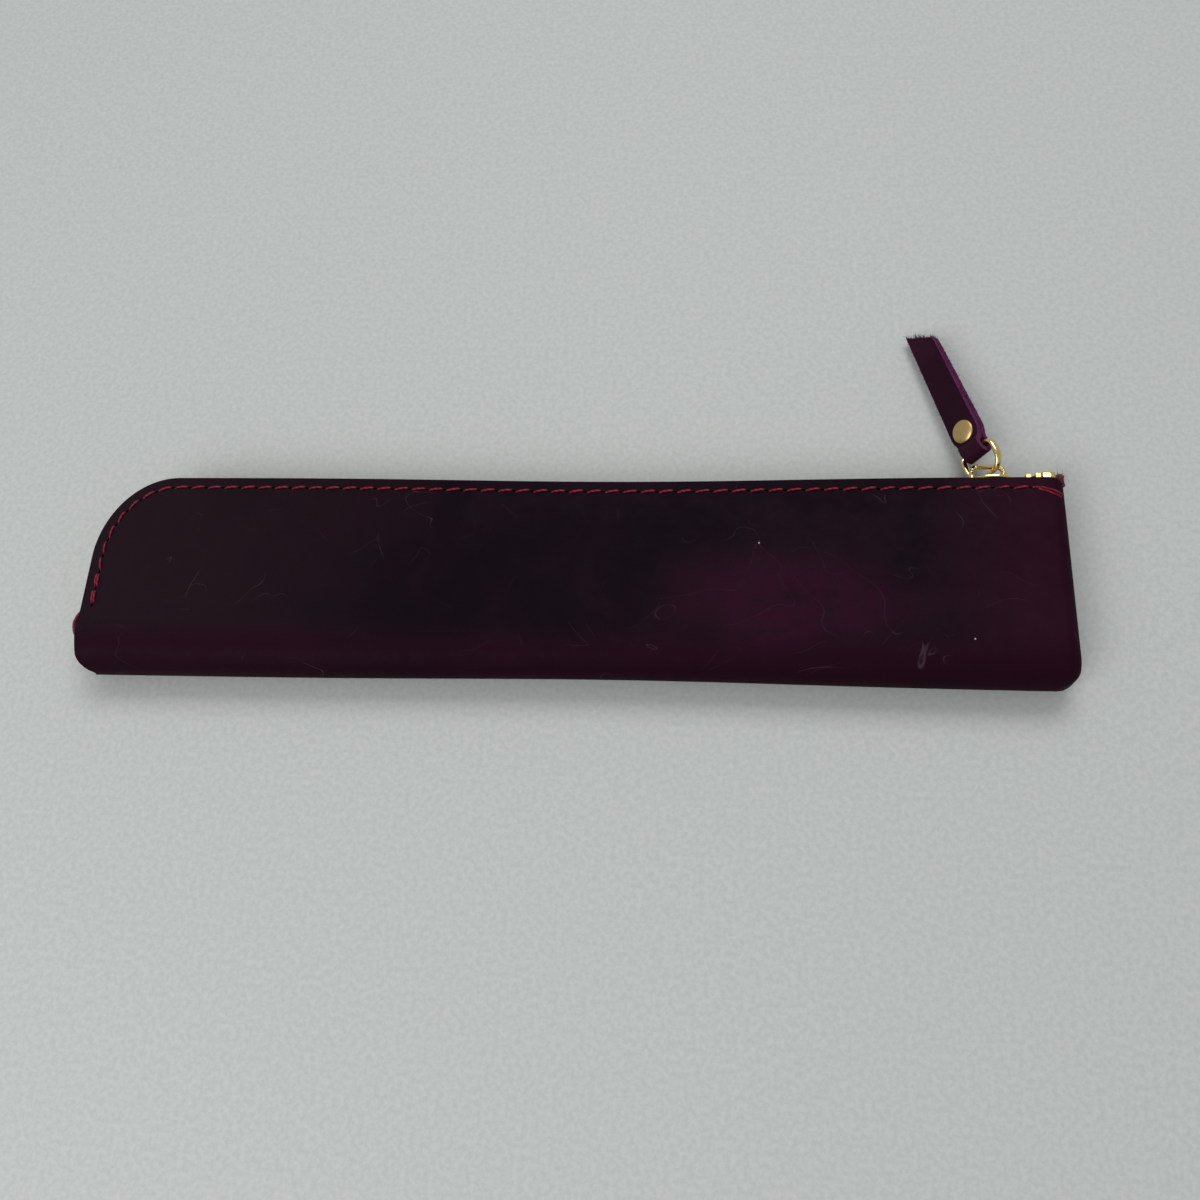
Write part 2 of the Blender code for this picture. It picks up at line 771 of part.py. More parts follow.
def seam_thread(name, side):
    centres, sides = [], []
    straight = seam_start_x - corner_reach_x
    distances = [seam_start_setback + straight * k / seam_straight_steps for k in range(seam_straight_steps)]
    corner_start = case_length - corner_reach_x
    corner_end = path_lengths[-2]
    distances += [corner_start + (corner_end - corner_start) * k / corner_column_count for k in range(corner_column_count + 1)]
    distances.append(path_lengths[-1] - last_hole_y)
    for distance in distances:
        point, normal = on_path(distance)
        place = point - normal * stitch_inset
        height = outer_half(place.x, place.y) + thread_clearance + thread_radius * thread_flatness
        centres.append(to_part(place.x, place.y, mid_z + side * height))
        sides.append(Vector((normal.x, normal.y, 0.0)))
    return thread_strip(name, centres, sides)


def side_seam_thread():
    """The hidden seam that joins the two flaps: down one side, over their ends and back along the other."""
    height = flap_half_gap + sheet_half + thread_clearance + thread_radius * thread_flatness
    x = case_length - side_seam_inset
    over = case_height - flap_edge_drop + thread_clearance + thread_radius * thread_flatness
    plan = [(side_seam_start_y, height), (over, height), (over, -height), (side_seam_start_y, -height)]
    centres = [to_part(x, y, mid_z + z) for y, z in plan]
    return thread_strip("side_seam_thread", centres, [Vector((1.0, 0.0, 0.0))] * len(centres))


for old in list(bpy.data.objects):
    bpy.data.objects.remove(old, do_unlink=True)

part = collection_of("leather_pencil_case")
cutters = collection_of("cutters", hidden=True)

leather = material_of("bordeaux oiled leather", (0.028, 0.009, 0.013), 0.0, 0.55)
leather_strap = material_of("bordeaux strap leather", (0.030, 0.008, 0.016), 0.0, 0.6)
fabric = material_of("dark red zip tape", (0.075, 0.010, 0.022), 0.0, 0.9)
brass = material_of("polished light gold brass", (0.80, 0.62, 0.30), 1.0, 0.25)
thread = material_of("crimson waxed thread", (0.20, 0.020, 0.045), 0.0, 0.7)

leather_wrap()
front_tape = zip_tape("zip_tape_front", 1.0)
zip_tape("zip_tape_back", -1.0)
tape_end_folds(front_tape)
teeth_row("teeth_front", 1.0, 0.0)
teeth_row("teeth_back", -1.0, tooth_pitch / 2)
top_stop("top_stop_front", 1.0)
top_stop("top_stop_back", -1.0)
bottom_stop()
slider_body()
slider_bridge()
link_axis = axis_empty("link_axis", link_origin)
strap_axis = axis_empty("strap_axis", bar_centre, link_axis)
pull_link(link_axis)
pull_strap(strap_axis)
rivet(strap_axis)
seam_thread("seam_thread_front", 1.0)
seam_thread("seam_thread_back", -1.0)
side_seam_thread()

for cutter in cutters.objects:
    cutter.hide_render = True
    cutter.display_type = "WIRE"
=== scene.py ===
import math
import random

import bmesh
import bpy
from mathutils import Matrix, Vector, noise


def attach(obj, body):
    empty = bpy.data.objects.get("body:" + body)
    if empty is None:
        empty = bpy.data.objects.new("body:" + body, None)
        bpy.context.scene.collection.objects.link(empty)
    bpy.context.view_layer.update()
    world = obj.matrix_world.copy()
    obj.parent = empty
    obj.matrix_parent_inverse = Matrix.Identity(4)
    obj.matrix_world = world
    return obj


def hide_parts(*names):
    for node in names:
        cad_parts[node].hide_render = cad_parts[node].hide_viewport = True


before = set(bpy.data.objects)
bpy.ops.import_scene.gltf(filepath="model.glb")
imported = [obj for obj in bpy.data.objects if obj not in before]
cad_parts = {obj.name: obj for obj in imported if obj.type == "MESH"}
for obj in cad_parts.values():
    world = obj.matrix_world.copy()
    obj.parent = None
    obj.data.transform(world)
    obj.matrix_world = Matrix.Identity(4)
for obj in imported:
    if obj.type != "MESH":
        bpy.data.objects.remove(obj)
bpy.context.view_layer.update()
print("frame loaded")

# Millimetres from the left end (x), the fold (y) and the table (z); mm() takes them to the part's own metres.
case = {
    "length": 210.0,
    "height": 45.0,
    "leather": 1.6,
    "fold": 5.8,            # outer radius of the fold, half the thickness of the case
    "edgeHalf": 5.0,        # half the thickness at the zip edge
    "thinning": 12.0,
    "cornerX": 16.8,
    "cornerY": 19.5,
    "cornerLeft": 3.2,
    "foldShort": 0.9,       # the left end draws in towards the fold,
    "foldShortY": 9.5,      # from here
    "foldShortSpan": 6.0,   # over this height
    "cornerRight": 4.2,
    "flapCorner": 1.4,
    "flapGap": 0.2,
    "flapTurn": 2.0,
    "flapLength": 5.0,
    "flapDrop": 1.6,
    "sag": 1.1,             # dip of the zip edge half way along
    "bow": 0.82,            # and how far the fold curves the other way
    "bendX": 118.0,
    "bendWidth": 50.0,
}
midZ = case["fold"]
tableTop = 0.00001          # metres; what lies on the table is pressed flat here


def mm(x, y, z):
    return Vector(((x - case["length"] / 2) / 1000, (y - case["height"] / 2) / 1000, z / 1000))


def smooth(t):
    t = min(max(t, 0.0), 1.0)
    return t * t * (3 - 2 * t)


def hump(value, centre, width):
    return math.exp(-((value - centre) / width) ** 2)


def shares(count):          # even steps from 0 to 1
    return [k / (count - 1) for k in range(count)]


def signedPower(value, power):      # squares off a circle
    return math.copysign(abs(value) ** power, value)


def cornerPoint(angle):
    x = case["cornerX"] * (1 - math.cos(angle))
    y = case["height"] - case["cornerY"] * (1 - math.sin(angle))
    out = Vector((-math.cos(angle) / case["cornerX"], math.sin(angle) / case["cornerY"]))
    return Vector((x, y)), out.normalized()


edgePath = [(Vector((case["length"], case["height"])), Vector((0, 1)))]
edgePath += [cornerPoint(math.pi / 2 * (1 - share)) for share in shares(161)]
edgePath.append((Vector((0, 0)), Vector((-1, 0))))
edgeLengths = [0.0]
for before, after in zip(edgePath, edgePath[1:]):
    edgeLengths.append(edgeLengths[-1] + (after[0] - before[0]).length)


def onEdge(distance):       # point and outward direction of the zip edge, counted from the right end
    for k in range(len(edgePath) - 1):
        if distance <= edgeLengths[k + 1]:
            share = (distance - edgeLengths[k]) / (edgeLengths[k + 1] - edgeLengths[k])
            point = edgePath[k][0].lerp(edgePath[k + 1][0], share)
            if k in (0, len(edgePath) - 2):
                return point, edgePath[k if k else 1][1]
            return point, edgePath[k][1].lerp(edgePath[k + 1][1], share).normalized()
    return edgePath[-1]


def edgeDepth(x, y):        # how far a place lies in from the zip edge
    across = max(0.0, case["cornerX"] - x) / case["cornerX"]
    along = max(0.0, y - case["height"] + case["cornerY"]) / case["cornerY"]
    total = across * across + along * along
    if total == 0:
        return case["cornerY"]
    reach = (case["cornerX"] * across * across + case["cornerY"] * along * along) / total
    return (1 - math.sqrt(total)) * reach


def outerHalf(x, y):
    nearEdge = 1 - smooth(edgeDepth(x, y) / case["thinning"])
    offFold = smooth((y - case["fold"]) / case["fold"])
    return case["fold"] - (case["fold"] - case["edgeHalf"]) * nearEdge * offFold


def cornerInset(y, radius):
    rise = min(max(radius - y, 0.0), radius)
    return radius - math.sqrt(radius * radius - rise * rise)


def zipEdgeY(x):
    if x >= case["cornerX"]:
        return case["height"]
    return case["height"] - case["cornerY"] * (1 - math.sqrt(max(0.0, 1 - (1 - x / case["cornerX"]) ** 2)))


def onCase(x, y, z):        # like mm(), with the slight bend of both long edges
    bend = hump(x, case["bendX"], case["bendWidth"])
    share = smooth((y - 10) / 35)
    return mm(x, y + bend * (case["bow"] * (1 - share) - case["sag"] * share), z)


def onZip(distance, across, height, z):      # along the zip edge, outward from it and up from the middle
    point, normal = onEdge(distance)
    place = point + Vector((normal.y, -normal.x)) * across + normal * height
    return onCase(place.x, place.y, midZ + z)


# Small helpers for meshes and pieces

def newPiece(name, bm, body, materials, shade=True):
    bmesh.ops.recalc_face_normals(bm, faces=bm.faces)
    mesh = bpy.data.meshes.new(name)
    bm.to_mesh(mesh)
    bm.free()
    obj = bpy.data.objects.new(name, mesh)
    bpy.context.scene.collection.objects.link(obj)
    for material in materials:
        mesh.materials.append(material)
    if shade:
        mesh.shade_smooth()
    if body:
        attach(obj, body)
    return obj


def mappedGrid(bm, columns, rows, place):    # its points go where place(u, v) says, u and v from 0 to 1
    made = bmesh.ops.create_grid(bm, x_segments=columns, y_segments=rows, size=0.5, calc_uvs=False)["verts"]
    for vert in made:
        vert.co = place(vert.co.x + 0.5, vert.co.y + 0.5)


def vertsIn(items):
    return [item for item in items if isinstance(item, bmesh.types.BMVert)]


def faceOut(bm, away):      # turns an open sheet so that its faces look the way that away(centre) points
    bmesh.ops.recalc_face_normals(bm, faces=bm.faces)
    if sum(face.normal.dot(away(face.calc_center_median())) for face in bm.faces) < 0:
        bmesh.ops.reverse_faces(bm, faces=bm.faces)


def thickenSheet(bm, thickness, inner=1, rim=2):      # inward; the new faces get slots of their own
    outerVerts = set(bm.verts)
    outerFaces = set(bm.faces)
    bmesh.ops.solidify(bm, geom=list(bm.faces), thickness=thickness)
    for face in bm.faces:
        if face in outerFaces:
            continue
        shared = sum(vert in outerVerts for vert in face.verts)
        face.material_index = inner if shared == 0 else rim


def roundEdges(bm, edges, width, segments, material=-1):
    bmesh.ops.bevel(bm, geom=edges, offset=width, offset_type="OFFSET", segments=segments, profile=0.5,
                    affect="EDGES", material=material, clamp_overlap=True)


def roundRim(bm, width, rim=2):      # the edges between the rim and the two faces of a sheet
    edges = []
    for edge in bm.edges:
        if sum(face.material_index == rim for face in edge.link_faces) == 1 and len(edge.link_faces) == 2:
            edges.append(edge)
    roundEdges(bm, edges, width, 2, rim)


def roundedBlock(low, high, radius, segments=3):      # in case millimetres, before it is placed
    bm = bmesh.new()
    for vert in bmesh.ops.create_cube(bm, size=1.0)["verts"]:
        vert.co = Vector([low[k] + (vert.co[k] + 0.5) * (high[k] - low[k]) for k in range(3)])
    roundEdges(bm, list(bm.edges), radius, segments)
    return bm


def fullTurn(bm, geom, steps):
    bmesh.ops.spin(bm, geom=geom, cent=(0, 0, 0), axis=(0, 0, 1), dvec=(0, 0, 0), angle=2 * math.pi,
                   steps=steps, use_merge=True)


def joinInto(bm, extra):      # adds one bmesh to another and frees it
    mesh = bpy.data.meshes.new("joined")
    extra.to_mesh(mesh)
    extra.free()
    bm.from_mesh(mesh)
    bpy.data.meshes.remove(mesh)


def tube(bm, points, radii, sides=12, squash=1.0, lift=None):      # a rod, closed at its ends
    points = [Vector(p) for p in points]
    ring = bmesh.ops.create_circle(bm, cap_ends=True, segments=sides, radius=1.0)["verts"]
    face = ring[0].link_faces[0]
    base = [vert.co.copy() for vert in ring]
    up = Vector((0, 0, 1)) if lift is None else lift
    rings = [ring]
    for _ in points[1:]:
        grown = bmesh.ops.extrude_face_region(bm, geom=[face])["geom"]
        face = next(item for item in grown if isinstance(item, bmesh.types.BMFace))
        order = {}
        for vert in vertsIn(grown):
            below = next(e.other_vert(vert) for e in vert.link_edges if e.other_vert(vert) in rings[-1])
            order[rings[-1].index(below)] = vert
        rings.append([order[k] for k in range(sides)])
    for k, (point, verts) in enumerate(zip(points, rings)):
        ahead = points[min(k + 1, len(points) - 1)] - points[max(k - 1, 0)]
        ahead.normalize()
        side = ahead.cross(up).normalized()
        over = side.cross(ahead).normalized()
        for vert, flat in zip(verts, base):
            vert.co = point + side * flat.x * radii[k] + over * flat.y * radii[k] * squash


# Materials

eased = {"interpolation_type": "SMOOTHSTEP"}
asColour = {"data_type": "RGBA", "output": 2}      # a Mix node's colours are its inputs 6 and 7


def tone(text):             # an sRGB hex value as linear light
    parts = [int(text[k:k + 2], 16) / 255 for k in (1, 3, 5)]
    return [c / 12.92 if c <= 0.04045 else ((c + 0.055) / 1.055) ** 2.4 for c in parts] + [1.0]


def perMetre(size):         # a texture's scale for forms of this many millimetres
    return 1000 / size


def add(tree, kind, inputs, output=0, **settings):      # one node with its settings, values and links
    made = tree.nodes.new("ShaderNode" + kind)
    for key, value in settings.items():
        setattr(made, key, value)
    for key, value in inputs.items():
        if isinstance(value, bpy.types.NodeSocket):
            tree.links.new(value, made.inputs[key])
        else:
            made.inputs[key].default_value = value
    return made.outputs[output]


def newMaterial(name, values):
    material = bpy.data.materials.new(name)
    material.use_nodes = True
    tree = material.node_tree
    shader = tree.nodes["Principled BSDF"]
    for key, value in values.items():
        shader.inputs[key].default_value = value
    return material, tree, shader


leatherLook = {
    "grey": ("#20141a", (85.0, 0.0), 0.75),         # painted grey reflection of the lamps towards the left end: colour, start and full, share
    "rightEnd": ("#2d0b1d", (177.0, 205.0), 0.55),
    "purple": ("#1e0513", (12.0, 4.5), 0.9),        # pulled-up colour along the fold
    "scuff": "#320c22",                             # rubbed patch near the right end
    "patch": ((153.0, 17.0, 11.6), (31.0, 13.0, 4.0)),      # its centre and half sizes
    "patchWander": (0.022, 0.012, 0.0),     # metres that its outline strays
    "scratch": "#56454c",
    "scratches": ((29.4118, 3.1, 0.0014), (16.6667, 7.7, 0.0022)),      # how far apart, a shift, how thin
    "dust": "#b9b4ae",
    "cloud": 26.316,        # sizes of the patterns, mm
    "mottle": 3.84615,
    "wander": 14.2857,
    "scratched": 11.1111,
    "dustApart": 10.5263,
    "pores": 0.66667,       # real pores are 0.1 mm or so, too fine to show
    "fine": 0.384615,       # the same
}


def leatherMaterial(name, dark, warm, withWear=True):
    # Oiled pull-up cowhide: waxy, matt, nearly black, turning bordeaux where it is bent or rubbed.
    look = leatherLook
    material, tree, shader = newMaterial(name, {"Roughness": 0.5, "Specular IOR Level": 0.035})
    place = add(tree, "TexCoord", {}, "Object")
    cloud = add(tree, "TexNoise", {"Vector": place, "Scale": perMetre(look["cloud"]), "Detail": 4.0,
                                   "Roughness": 0.55, "Distortion": 0.6})
    mottle = add(tree, "TexNoise", {"Vector": place, "Scale": perMetre(look["mottle"]), "Detail": 5.0,
                                    "Roughness": 0.65})
    warmth = add(tree, "MapRange", {"Value": cloud, "From Min": 0.38, "From Max": 0.66}, **eased)
    colour = add(tree, "Mix", {"Factor": warmth, 6: tone(dark), 7: tone(warm)}, **asColour)
    scratched = add(tree, "TexNoise", {"Vector": place, "Scale": perMetre(look["scratched"]), "Detail": 2.0})
    often = add(tree, "MapRange", {"Value": scratched, "From Min": 0.52, "From Max": 0.68}, **eased)
    if withWear:
        sides = add(tree, "SeparateXYZ", {"Vector": place}).node.outputs
        clouded = add(tree, "MapRange", {"Value": cloud, "From Min": 0.15, "From Max": 0.6,
                                         "To Min": 0.6}, **eased)
        # the grey share paints a reflection of the lamps over the left end of the case
        for key, axis in (("grey", 0), ("rightEnd", 0), ("purple", 1)):
            text, (start, full), most = look[key]
            low, high = mm(start, start, 0)[axis], mm(full, full, 0)[axis]
            share = add(tree, "MapRange", {"Value": sides[axis], "From Min": low, "From Max": high,
                                           "To Max": most}, **eased)
            if key == "purple":
                share = add(tree, "Math", {0: share, 1: clouded}, operation="MULTIPLY")
            colour = add(tree, "Mix", {"Factor": share, 6: colour, 7: tone(text)}, **asColour)
        wander = add(tree, "TexNoise", {"Vector": place, "Scale": perMetre(look["wander"]),
                                        "Detail": 3.0}, "Color")
        wander = add(tree, "VectorMath", {0: wander, 1: (0.5, 0.5, 0.5)}, operation="SUBTRACT")
        wander = add(tree, "VectorMath", {0: wander, 1: look["patchWander"]}, operation="MULTIPLY")
        moved = add(tree, "VectorMath", {0: place, 1: wander}, operation="ADD")
        centre, halves = look["patch"]
        scale = [perMetre(half) for half in halves]
        back = [-c * s for c, s in zip(mm(*centre), scale)]
        onPatch = add(tree, "Mapping", {"Vector": moved, "Location": back, "Scale": scale})
        away = add(tree, "VectorMath", {0: onPatch}, "Value", operation="LENGTH")
        patch = add(tree, "MapRange", {"Value": away, "From Min": 1.05, "From Max": 0.35}, **eased)
        rubbed = add(tree, "MapRange", {"Value": mottle, "From Min": 0.32, "From Max": 0.62, "To Min": 0.21,
                                        "To Max": 0.6}, **eased)
        patch = add(tree, "Math", {0: patch, 1: rubbed}, operation="MULTIPLY")
        colour = add(tree, "Mix", {"Factor": patch, 6: colour, 7: tone(look["scuff"])}, **asColour)
        often = add(tree, "Math", {0: often, 1: patch}, operation="MAXIMUM")
    # hair-fine curved scratches: the thin level lines of a broad noise
    lines = []
    for size, shift, width in look["scratches"]:
        shifted = add(tree, "VectorMath", {0: place, 1: (shift, shift * 0.37, 0.0)}, operation="ADD")
        level = add(tree, "TexNoise", {"Vector": shifted, "Scale": perMetre(size), "Detail": 1.5,
                                       "Roughness": 0.4, "Distortion": 0.8})
        off = add(tree, "Math", {0: level, 1: 0.5}, operation="SUBTRACT")
        off = add(tree, "Math", {0: off}, operation="ABSOLUTE")
        lines.append(add(tree, "MapRange", {"Value": off, "From Min": width, "From Max": 0.0}, **eased))
    scratch = add(tree, "Math", {0: lines[0], 1: lines[1]}, operation="MAXIMUM")
    scratch = add(tree, "Math", {0: scratch, 1: often}, operation="MULTIPLY")
    scratch = add(tree, "Math", {0: scratch, 1: 0.4}, operation="MULTIPLY")
    colour = add(tree, "Mix", {"Factor": scratch, 6: colour, 7: tone(look["scratch"])}, **asColour)
    warmer = add(tree, "MapRange", {"Value": mottle, "From Min": 0.35, "From Max": 0.7,
                                    "To Max": 0.15}, **eased)
    colour = add(tree, "Mix", {"Factor": warmer, 6: colour, 7: tone(warm)}, **asColour)
    # a few specks of dust
    dust = add(tree, "TexVoronoi", {"Vector": place, "Scale": perMetre(look["dustApart"])}, feature="F1")
    draw = add(tree, "SeparateColor", {"Color": dust.node.outputs["Color"]})
    picked = add(tree, "MapRange", {"Value": draw, "From Min": 0.80, "From Max": 0.82,
                                    "To Max": 0.8}, **eased)
    speck = add(tree, "MapRange", {"Value": dust, "From Min": 0.022, "From Max": 0.010}, **eased)
    speck = add(tree, "Math", {0: speck, 1: picked}, operation="MULTIPLY")
    colour = add(tree, "Mix", {"Factor": speck, 6: colour, 7: tone(look["dust"])}, **asColour)
    tree.links.new(colour, shader.inputs["Base Color"])
    rough = add(tree, "MapRange", {"Value": mottle, "From Min": 0.3, "From Max": 0.7, "To Min": 0.54,
                                   "To Max": 0.66}, **eased)
    tree.links.new(rough, shader.inputs["Roughness"])
    # relief: pores, a finer grain, the mottle and the scratches, each with its share
    pores = add(tree, "TexVoronoi", {"Vector": place, "Scale": perMetre(look["pores"])}, feature="SMOOTH_F1")
    fine = add(tree, "TexNoise", {"Vector": place, "Scale": perMetre(look["fine"]), "Detail": 3.0,
                                  "Roughness": 0.6})
    height = None
    for layer, share in ((pores, 0.55), (fine, 0.45), (mottle, 0.5), (scratch, -0.8)):
        layer = add(tree, "Math", {0: layer, 1: share}, operation="MULTIPLY")
        height = add(tree, "Math", {0: height, 1: layer}, operation="ADD") if height else layer
    relief = add(tree, "Bump", {"Height": height, "Strength": 0.32, "Distance": 0.00012})
    tree.links.new(relief, shader.inputs["Normal"])
    return material


def suedeMaterial(name, dark, light):
    # The flesh side and raw cut of the same leather: no gloss, loose fibres drawn coarse enough to show.
    material, tree, shader = newMaterial(name, {"Roughness": 0.92, "Specular IOR Level": 0.15})
    place = add(tree, "TexCoord", {}, "Object")
    fibre = add(tree, "TexNoise", {"Vector": place, "Scale": perMetre(0.454545), "Detail": 4.0,
                                   "Roughness": 0.7, "Distortion": 1.2})
    patchy = add(tree, "TexNoise", {"Vector": place, "Scale": perMetre(2.38095), "Detail": 3.0})
    lit = add(tree, "MapRange", {"Value": fibre, "From Min": 0.3, "From Max": 0.72}, **eased)
    worn = add(tree, "MapRange", {"Value": patchy, "From Min": 0.35, "From Max": 0.7, "To Max": 0.5}, **eased)
    colour = add(tree, "Mix", {"Factor": lit, 6: tone(dark), 7: tone(light)}, **asColour)
    colour = add(tree, "Mix", {"Factor": worn, 6: colour, 7: tone(dark)}, **asColour)
    tree.links.new(colour, shader.inputs["Base Color"])
    relief = add(tree, "Bump", {"Height": fibre, "Strength": 0.7, "Distance": 0.00015})
    tree.links.new(relief, shader.inputs["Normal"])
    return material


def brassMaterial(name, colour, roughness, wear=0.05):
    # Die-cast zinc with a polished light gold plating: bright, with a faint satin ripple about 1 mm wide.
    material, tree, shader = newMaterial(name, {"Metallic": 1.0})
    place = add(tree, "TexCoord", {}, "Object")
    ripple = add(tree, "TexNoise", {"Vector": place, "Scale": perMetre(1.11111), "Detail": 3.0,
                                    "Roughness": 0.6})
    duller = add(tree, "MapRange", {"Value": ripple, "From Min": 0.35, "From Max": 0.7,
                                    "To Max": 0.35}, **eased)
    tint = add(tree, "Mix", {"Factor": duller, 6: tone(colour), 7: tone("#b8924e")}, **asColour)
    tree.links.new(tint, shader.inputs["Base Color"])
    rough = add(tree, "MapRange", {"Value": ripple, "From Min": 0.3, "From Max": 0.7,
                                   "To Min": roughness - wear, "To Max": roughness + wear}, **eased)
    tree.links.new(rough, shader.inputs["Roughness"])
    relief = add(tree, "Bump", {"Height": ripple, "Strength": 0.12, "Distance": 0.00005})
    tree.links.new(relief, shader.inputs["Normal"])
    return material


bandTurn = 2 * math.pi / 10      # a diagonal wave's scale times the distance between its bands
rowTurn = 2 * math.pi / 20       # and a straight one's


def tapeMaterial(name):
    # Woven cotton zip tape, slanted ribs over fine rows; u runs along the tape and v across it, both in mm.
    values = {"Roughness": 0.9, "Specular IOR Level": 0.2, "Sheen Weight": 0.3}
    material, tree, shader = newMaterial(name, values)
    place = add(tree, "TexCoord", {}, "UV")
    ribs = add(tree, "TexWave", {"Vector": place, "Scale": bandTurn / 0.628319, "Distortion": 0.4,
                                 "Detail": 1.0}, "Fac", wave_type="BANDS", bands_direction="DIAGONAL")
    rows = add(tree, "TexWave", {"Vector": place, "Scale": rowTurn / 0.19635, "Distortion": 0.3},
               "Fac", wave_type="BANDS", bands_direction="Y")
    ribs = add(tree, "Math", {0: ribs, 1: 0.6}, operation="MULTIPLY")
    rows = add(tree, "Math", {0: rows, 1: 0.4}, operation="MULTIPLY")
    weave = add(tree, "Math", {0: ribs, 1: rows}, operation="ADD")
    spot = add(tree, "TexCoord", {}, "Object")
    lint = add(tree, "TexNoise", {"Vector": spot, "Scale": perMetre(0.555556), "Detail": 3.0, "Roughness": 0.7})
    linty = add(tree, "MapRange", {"Value": lint, "From Min": 0.5, "From Max": 0.75, "To Max": 0.45}, **eased)
    colour = add(tree, "Mix", {"Factor": weave, 6: tone("#3a0a18"), 7: tone("#6a1630")}, **asColour)
    colour = add(tree, "Mix", {"Factor": linty, 6: colour, 7: tone("#7d2a40")}, **asColour)
    tree.links.new(colour, shader.inputs["Base Color"])
    height = add(tree, "Math", {0: lint, 1: 0.5}, operation="MULTIPLY")
    height = add(tree, "Math", {0: weave, 1: height}, operation="ADD")
    relief = add(tree, "Bump", {"Height": height, "Strength": 0.6, "Distance": 0.00012})
    tree.links.new(relief, shader.inputs["Normal"])
    return material


def threadMaterial(name):
    # Two-ply waxed polyester thread, crimson; its twist shows as slanted bands 1.3 mm apart along a stitch.
    material, tree, shader = newMaterial(name, {"Roughness": 0.6, "Specular IOR Level": 0.2})
    place = add(tree, "TexCoord", {}, "Object")
    ply = add(tree, "TexWave", {"Vector": place, "Scale": perMetre(1.309 / bandTurn), "Distortion": 1.2,
                                "Detail": 2.0, "Detail Scale": 3.0},
              "Fac", wave_type="BANDS", bands_direction="DIAGONAL")
    fluff = add(tree, "TexNoise", {"Vector": place, "Scale": perMetre(0.3125), "Detail": 2.0})
    fluffy = add(tree, "MapRange", {"Value": fluff, "From Min": 0.4, "From Max": 0.75,
                                    "To Max": 0.35}, **eased)
    colour = add(tree, "Mix", {"Factor": ply, 6: tone("#560a1c"), 7: tone("#821930")}, **asColour)
    colour = add(tree, "Mix", {"Factor": fluffy, 6: colour, 7: tone("#96324a")}, **asColour)
    tree.links.new(colour, shader.inputs["Base Color"])
    height = add(tree, "Math", {0: fluff, 1: 0.5}, operation="MULTIPLY")
    height = add(tree, "Math", {0: ply, 1: height}, operation="ADD")
    relief = add(tree, "Bump", {"Height": height, "Strength": 0.5, "Distance": 0.0001})
    tree.links.new(relief, shader.inputs["Normal"])
    return material


def holeShadeMaterial(name):
    # Painted shade inside a punched hole: near black, with no gloss at all.
    material, tree, shader = newMaterial(name, {"Roughness": 0.95, "Specular IOR Level": 0.0})
    place = add(tree, "TexCoord", {}, "Object")
    shade = add(tree, "TexNoise", {"Vector": place, "Scale": perMetre(0.333333)})
    colour = add(tree, "Mix", {"Factor": shade, 6: tone("#020101"), 7: tone("#080405")}, **asColour)
    tree.links.new(colour, shader.inputs["Base Color"])
    return material


oiledLeather = leatherMaterial("oiled pull-up leather", "#0e050e", "#180812")
strapLeather = leatherMaterial("oiled strap leather", "#210c19", "#2e1322", withWear=False)
suedeSide = suedeMaterial("flesh side of the leather", "#2b1520", "#4a2836")
cutEdge = suedeMaterial("cut and waxed edge", "#1a0c11", "#341622")
rawEdge = suedeMaterial("raw fuzzy edge", "#3a1232", "#6f2f5a")
brassPolished = brassMaterial("polished light gold plating", "#e6cf94", 0.16)
brassSatin = brassMaterial("satin gold cap", "#c9ad76", 0.40)
brassTeeth = brassMaterial("stamped brass teeth", "#d8b872", 0.26)
tapeCloth = tapeMaterial("woven zip tape")
waxedThread = threadMaterial("waxed crimson thread")
fuzz = suedeMaterial("loose fibres", "#30102a", "#5a2248")
needleHoleShade = holeShadeMaterial("painted shade inside a needle hole")
print("materials made")


# The leather case: one sheet folded along the near side, its right end turned in and sewn

wrap = {
    "panelRows": 58,
    "rowSpread": 1.6,         # rows crowd towards the zip edge, where the seam is
    "foldRows": 16,
    "cornerColumns": 48,
    "straightColumns": 130,
    "curlColumns": 9,
    "flapColumns": 3,
    "seamDepth": 2.36,        # the row of stitches, in from the zip edge
    "seamGroove": 0.13,
    "seamWidth": 0.75,
    "ridgeDepth": 4.85,       # where the zip tape ends under the leather
    "ridgeHeight": 0.12,
    "ridgeWidth": 0.9,
    "rim": 0.28,              # rounding of the cut edges
    "wave": 0.16,             # slow waves of the front panel, and their two lengths
    "waveX": 30.0,
    "waveY": 17.0,
}
lastStraight = case["length"] - case["fold"] - case["cornerRight"]
straight = lastStraight - case["cornerX"]
curls = shares(wrap["curlColumns"] + 1)
rowPlan = [("panel", share ** wrap["rowSpread"], 1) for share in shares(wrap["panelRows"] + 1)]
rowPlan += [("fold", math.pi * share, 0) for share in shares(wrap["foldRows"] + 2)[1:-1]]
rowPlan += [("panel", share, -1) for _, share, _ in reversed(rowPlan[:wrap["panelRows"] + 1])]
columnPlan = []               # x of a flat column, or how far the sheet is curled in, turned back and run on
for share in shares(wrap["cornerColumns"] + 1)[:-1]:
    columnPlan.append(("flat", case["cornerX"] * (1 - math.cos(math.pi / 2 * share))))
columnPlan += [("flat", case["cornerX"] + straight * share) for share in shares(wrap["straightColumns"])]
columnPlan += [("curl", curl, 0.0, 0.0) for curl in curls]
columnPlan += [("curl", 1.0, curl, 0.0) for curl in curls[1:]]
flaps = shares(wrap["flapColumns"] + 1)
columnPlan += [("curl", 1.0, 1.0, case["flapLength"] * share) for share in flaps[1:]]


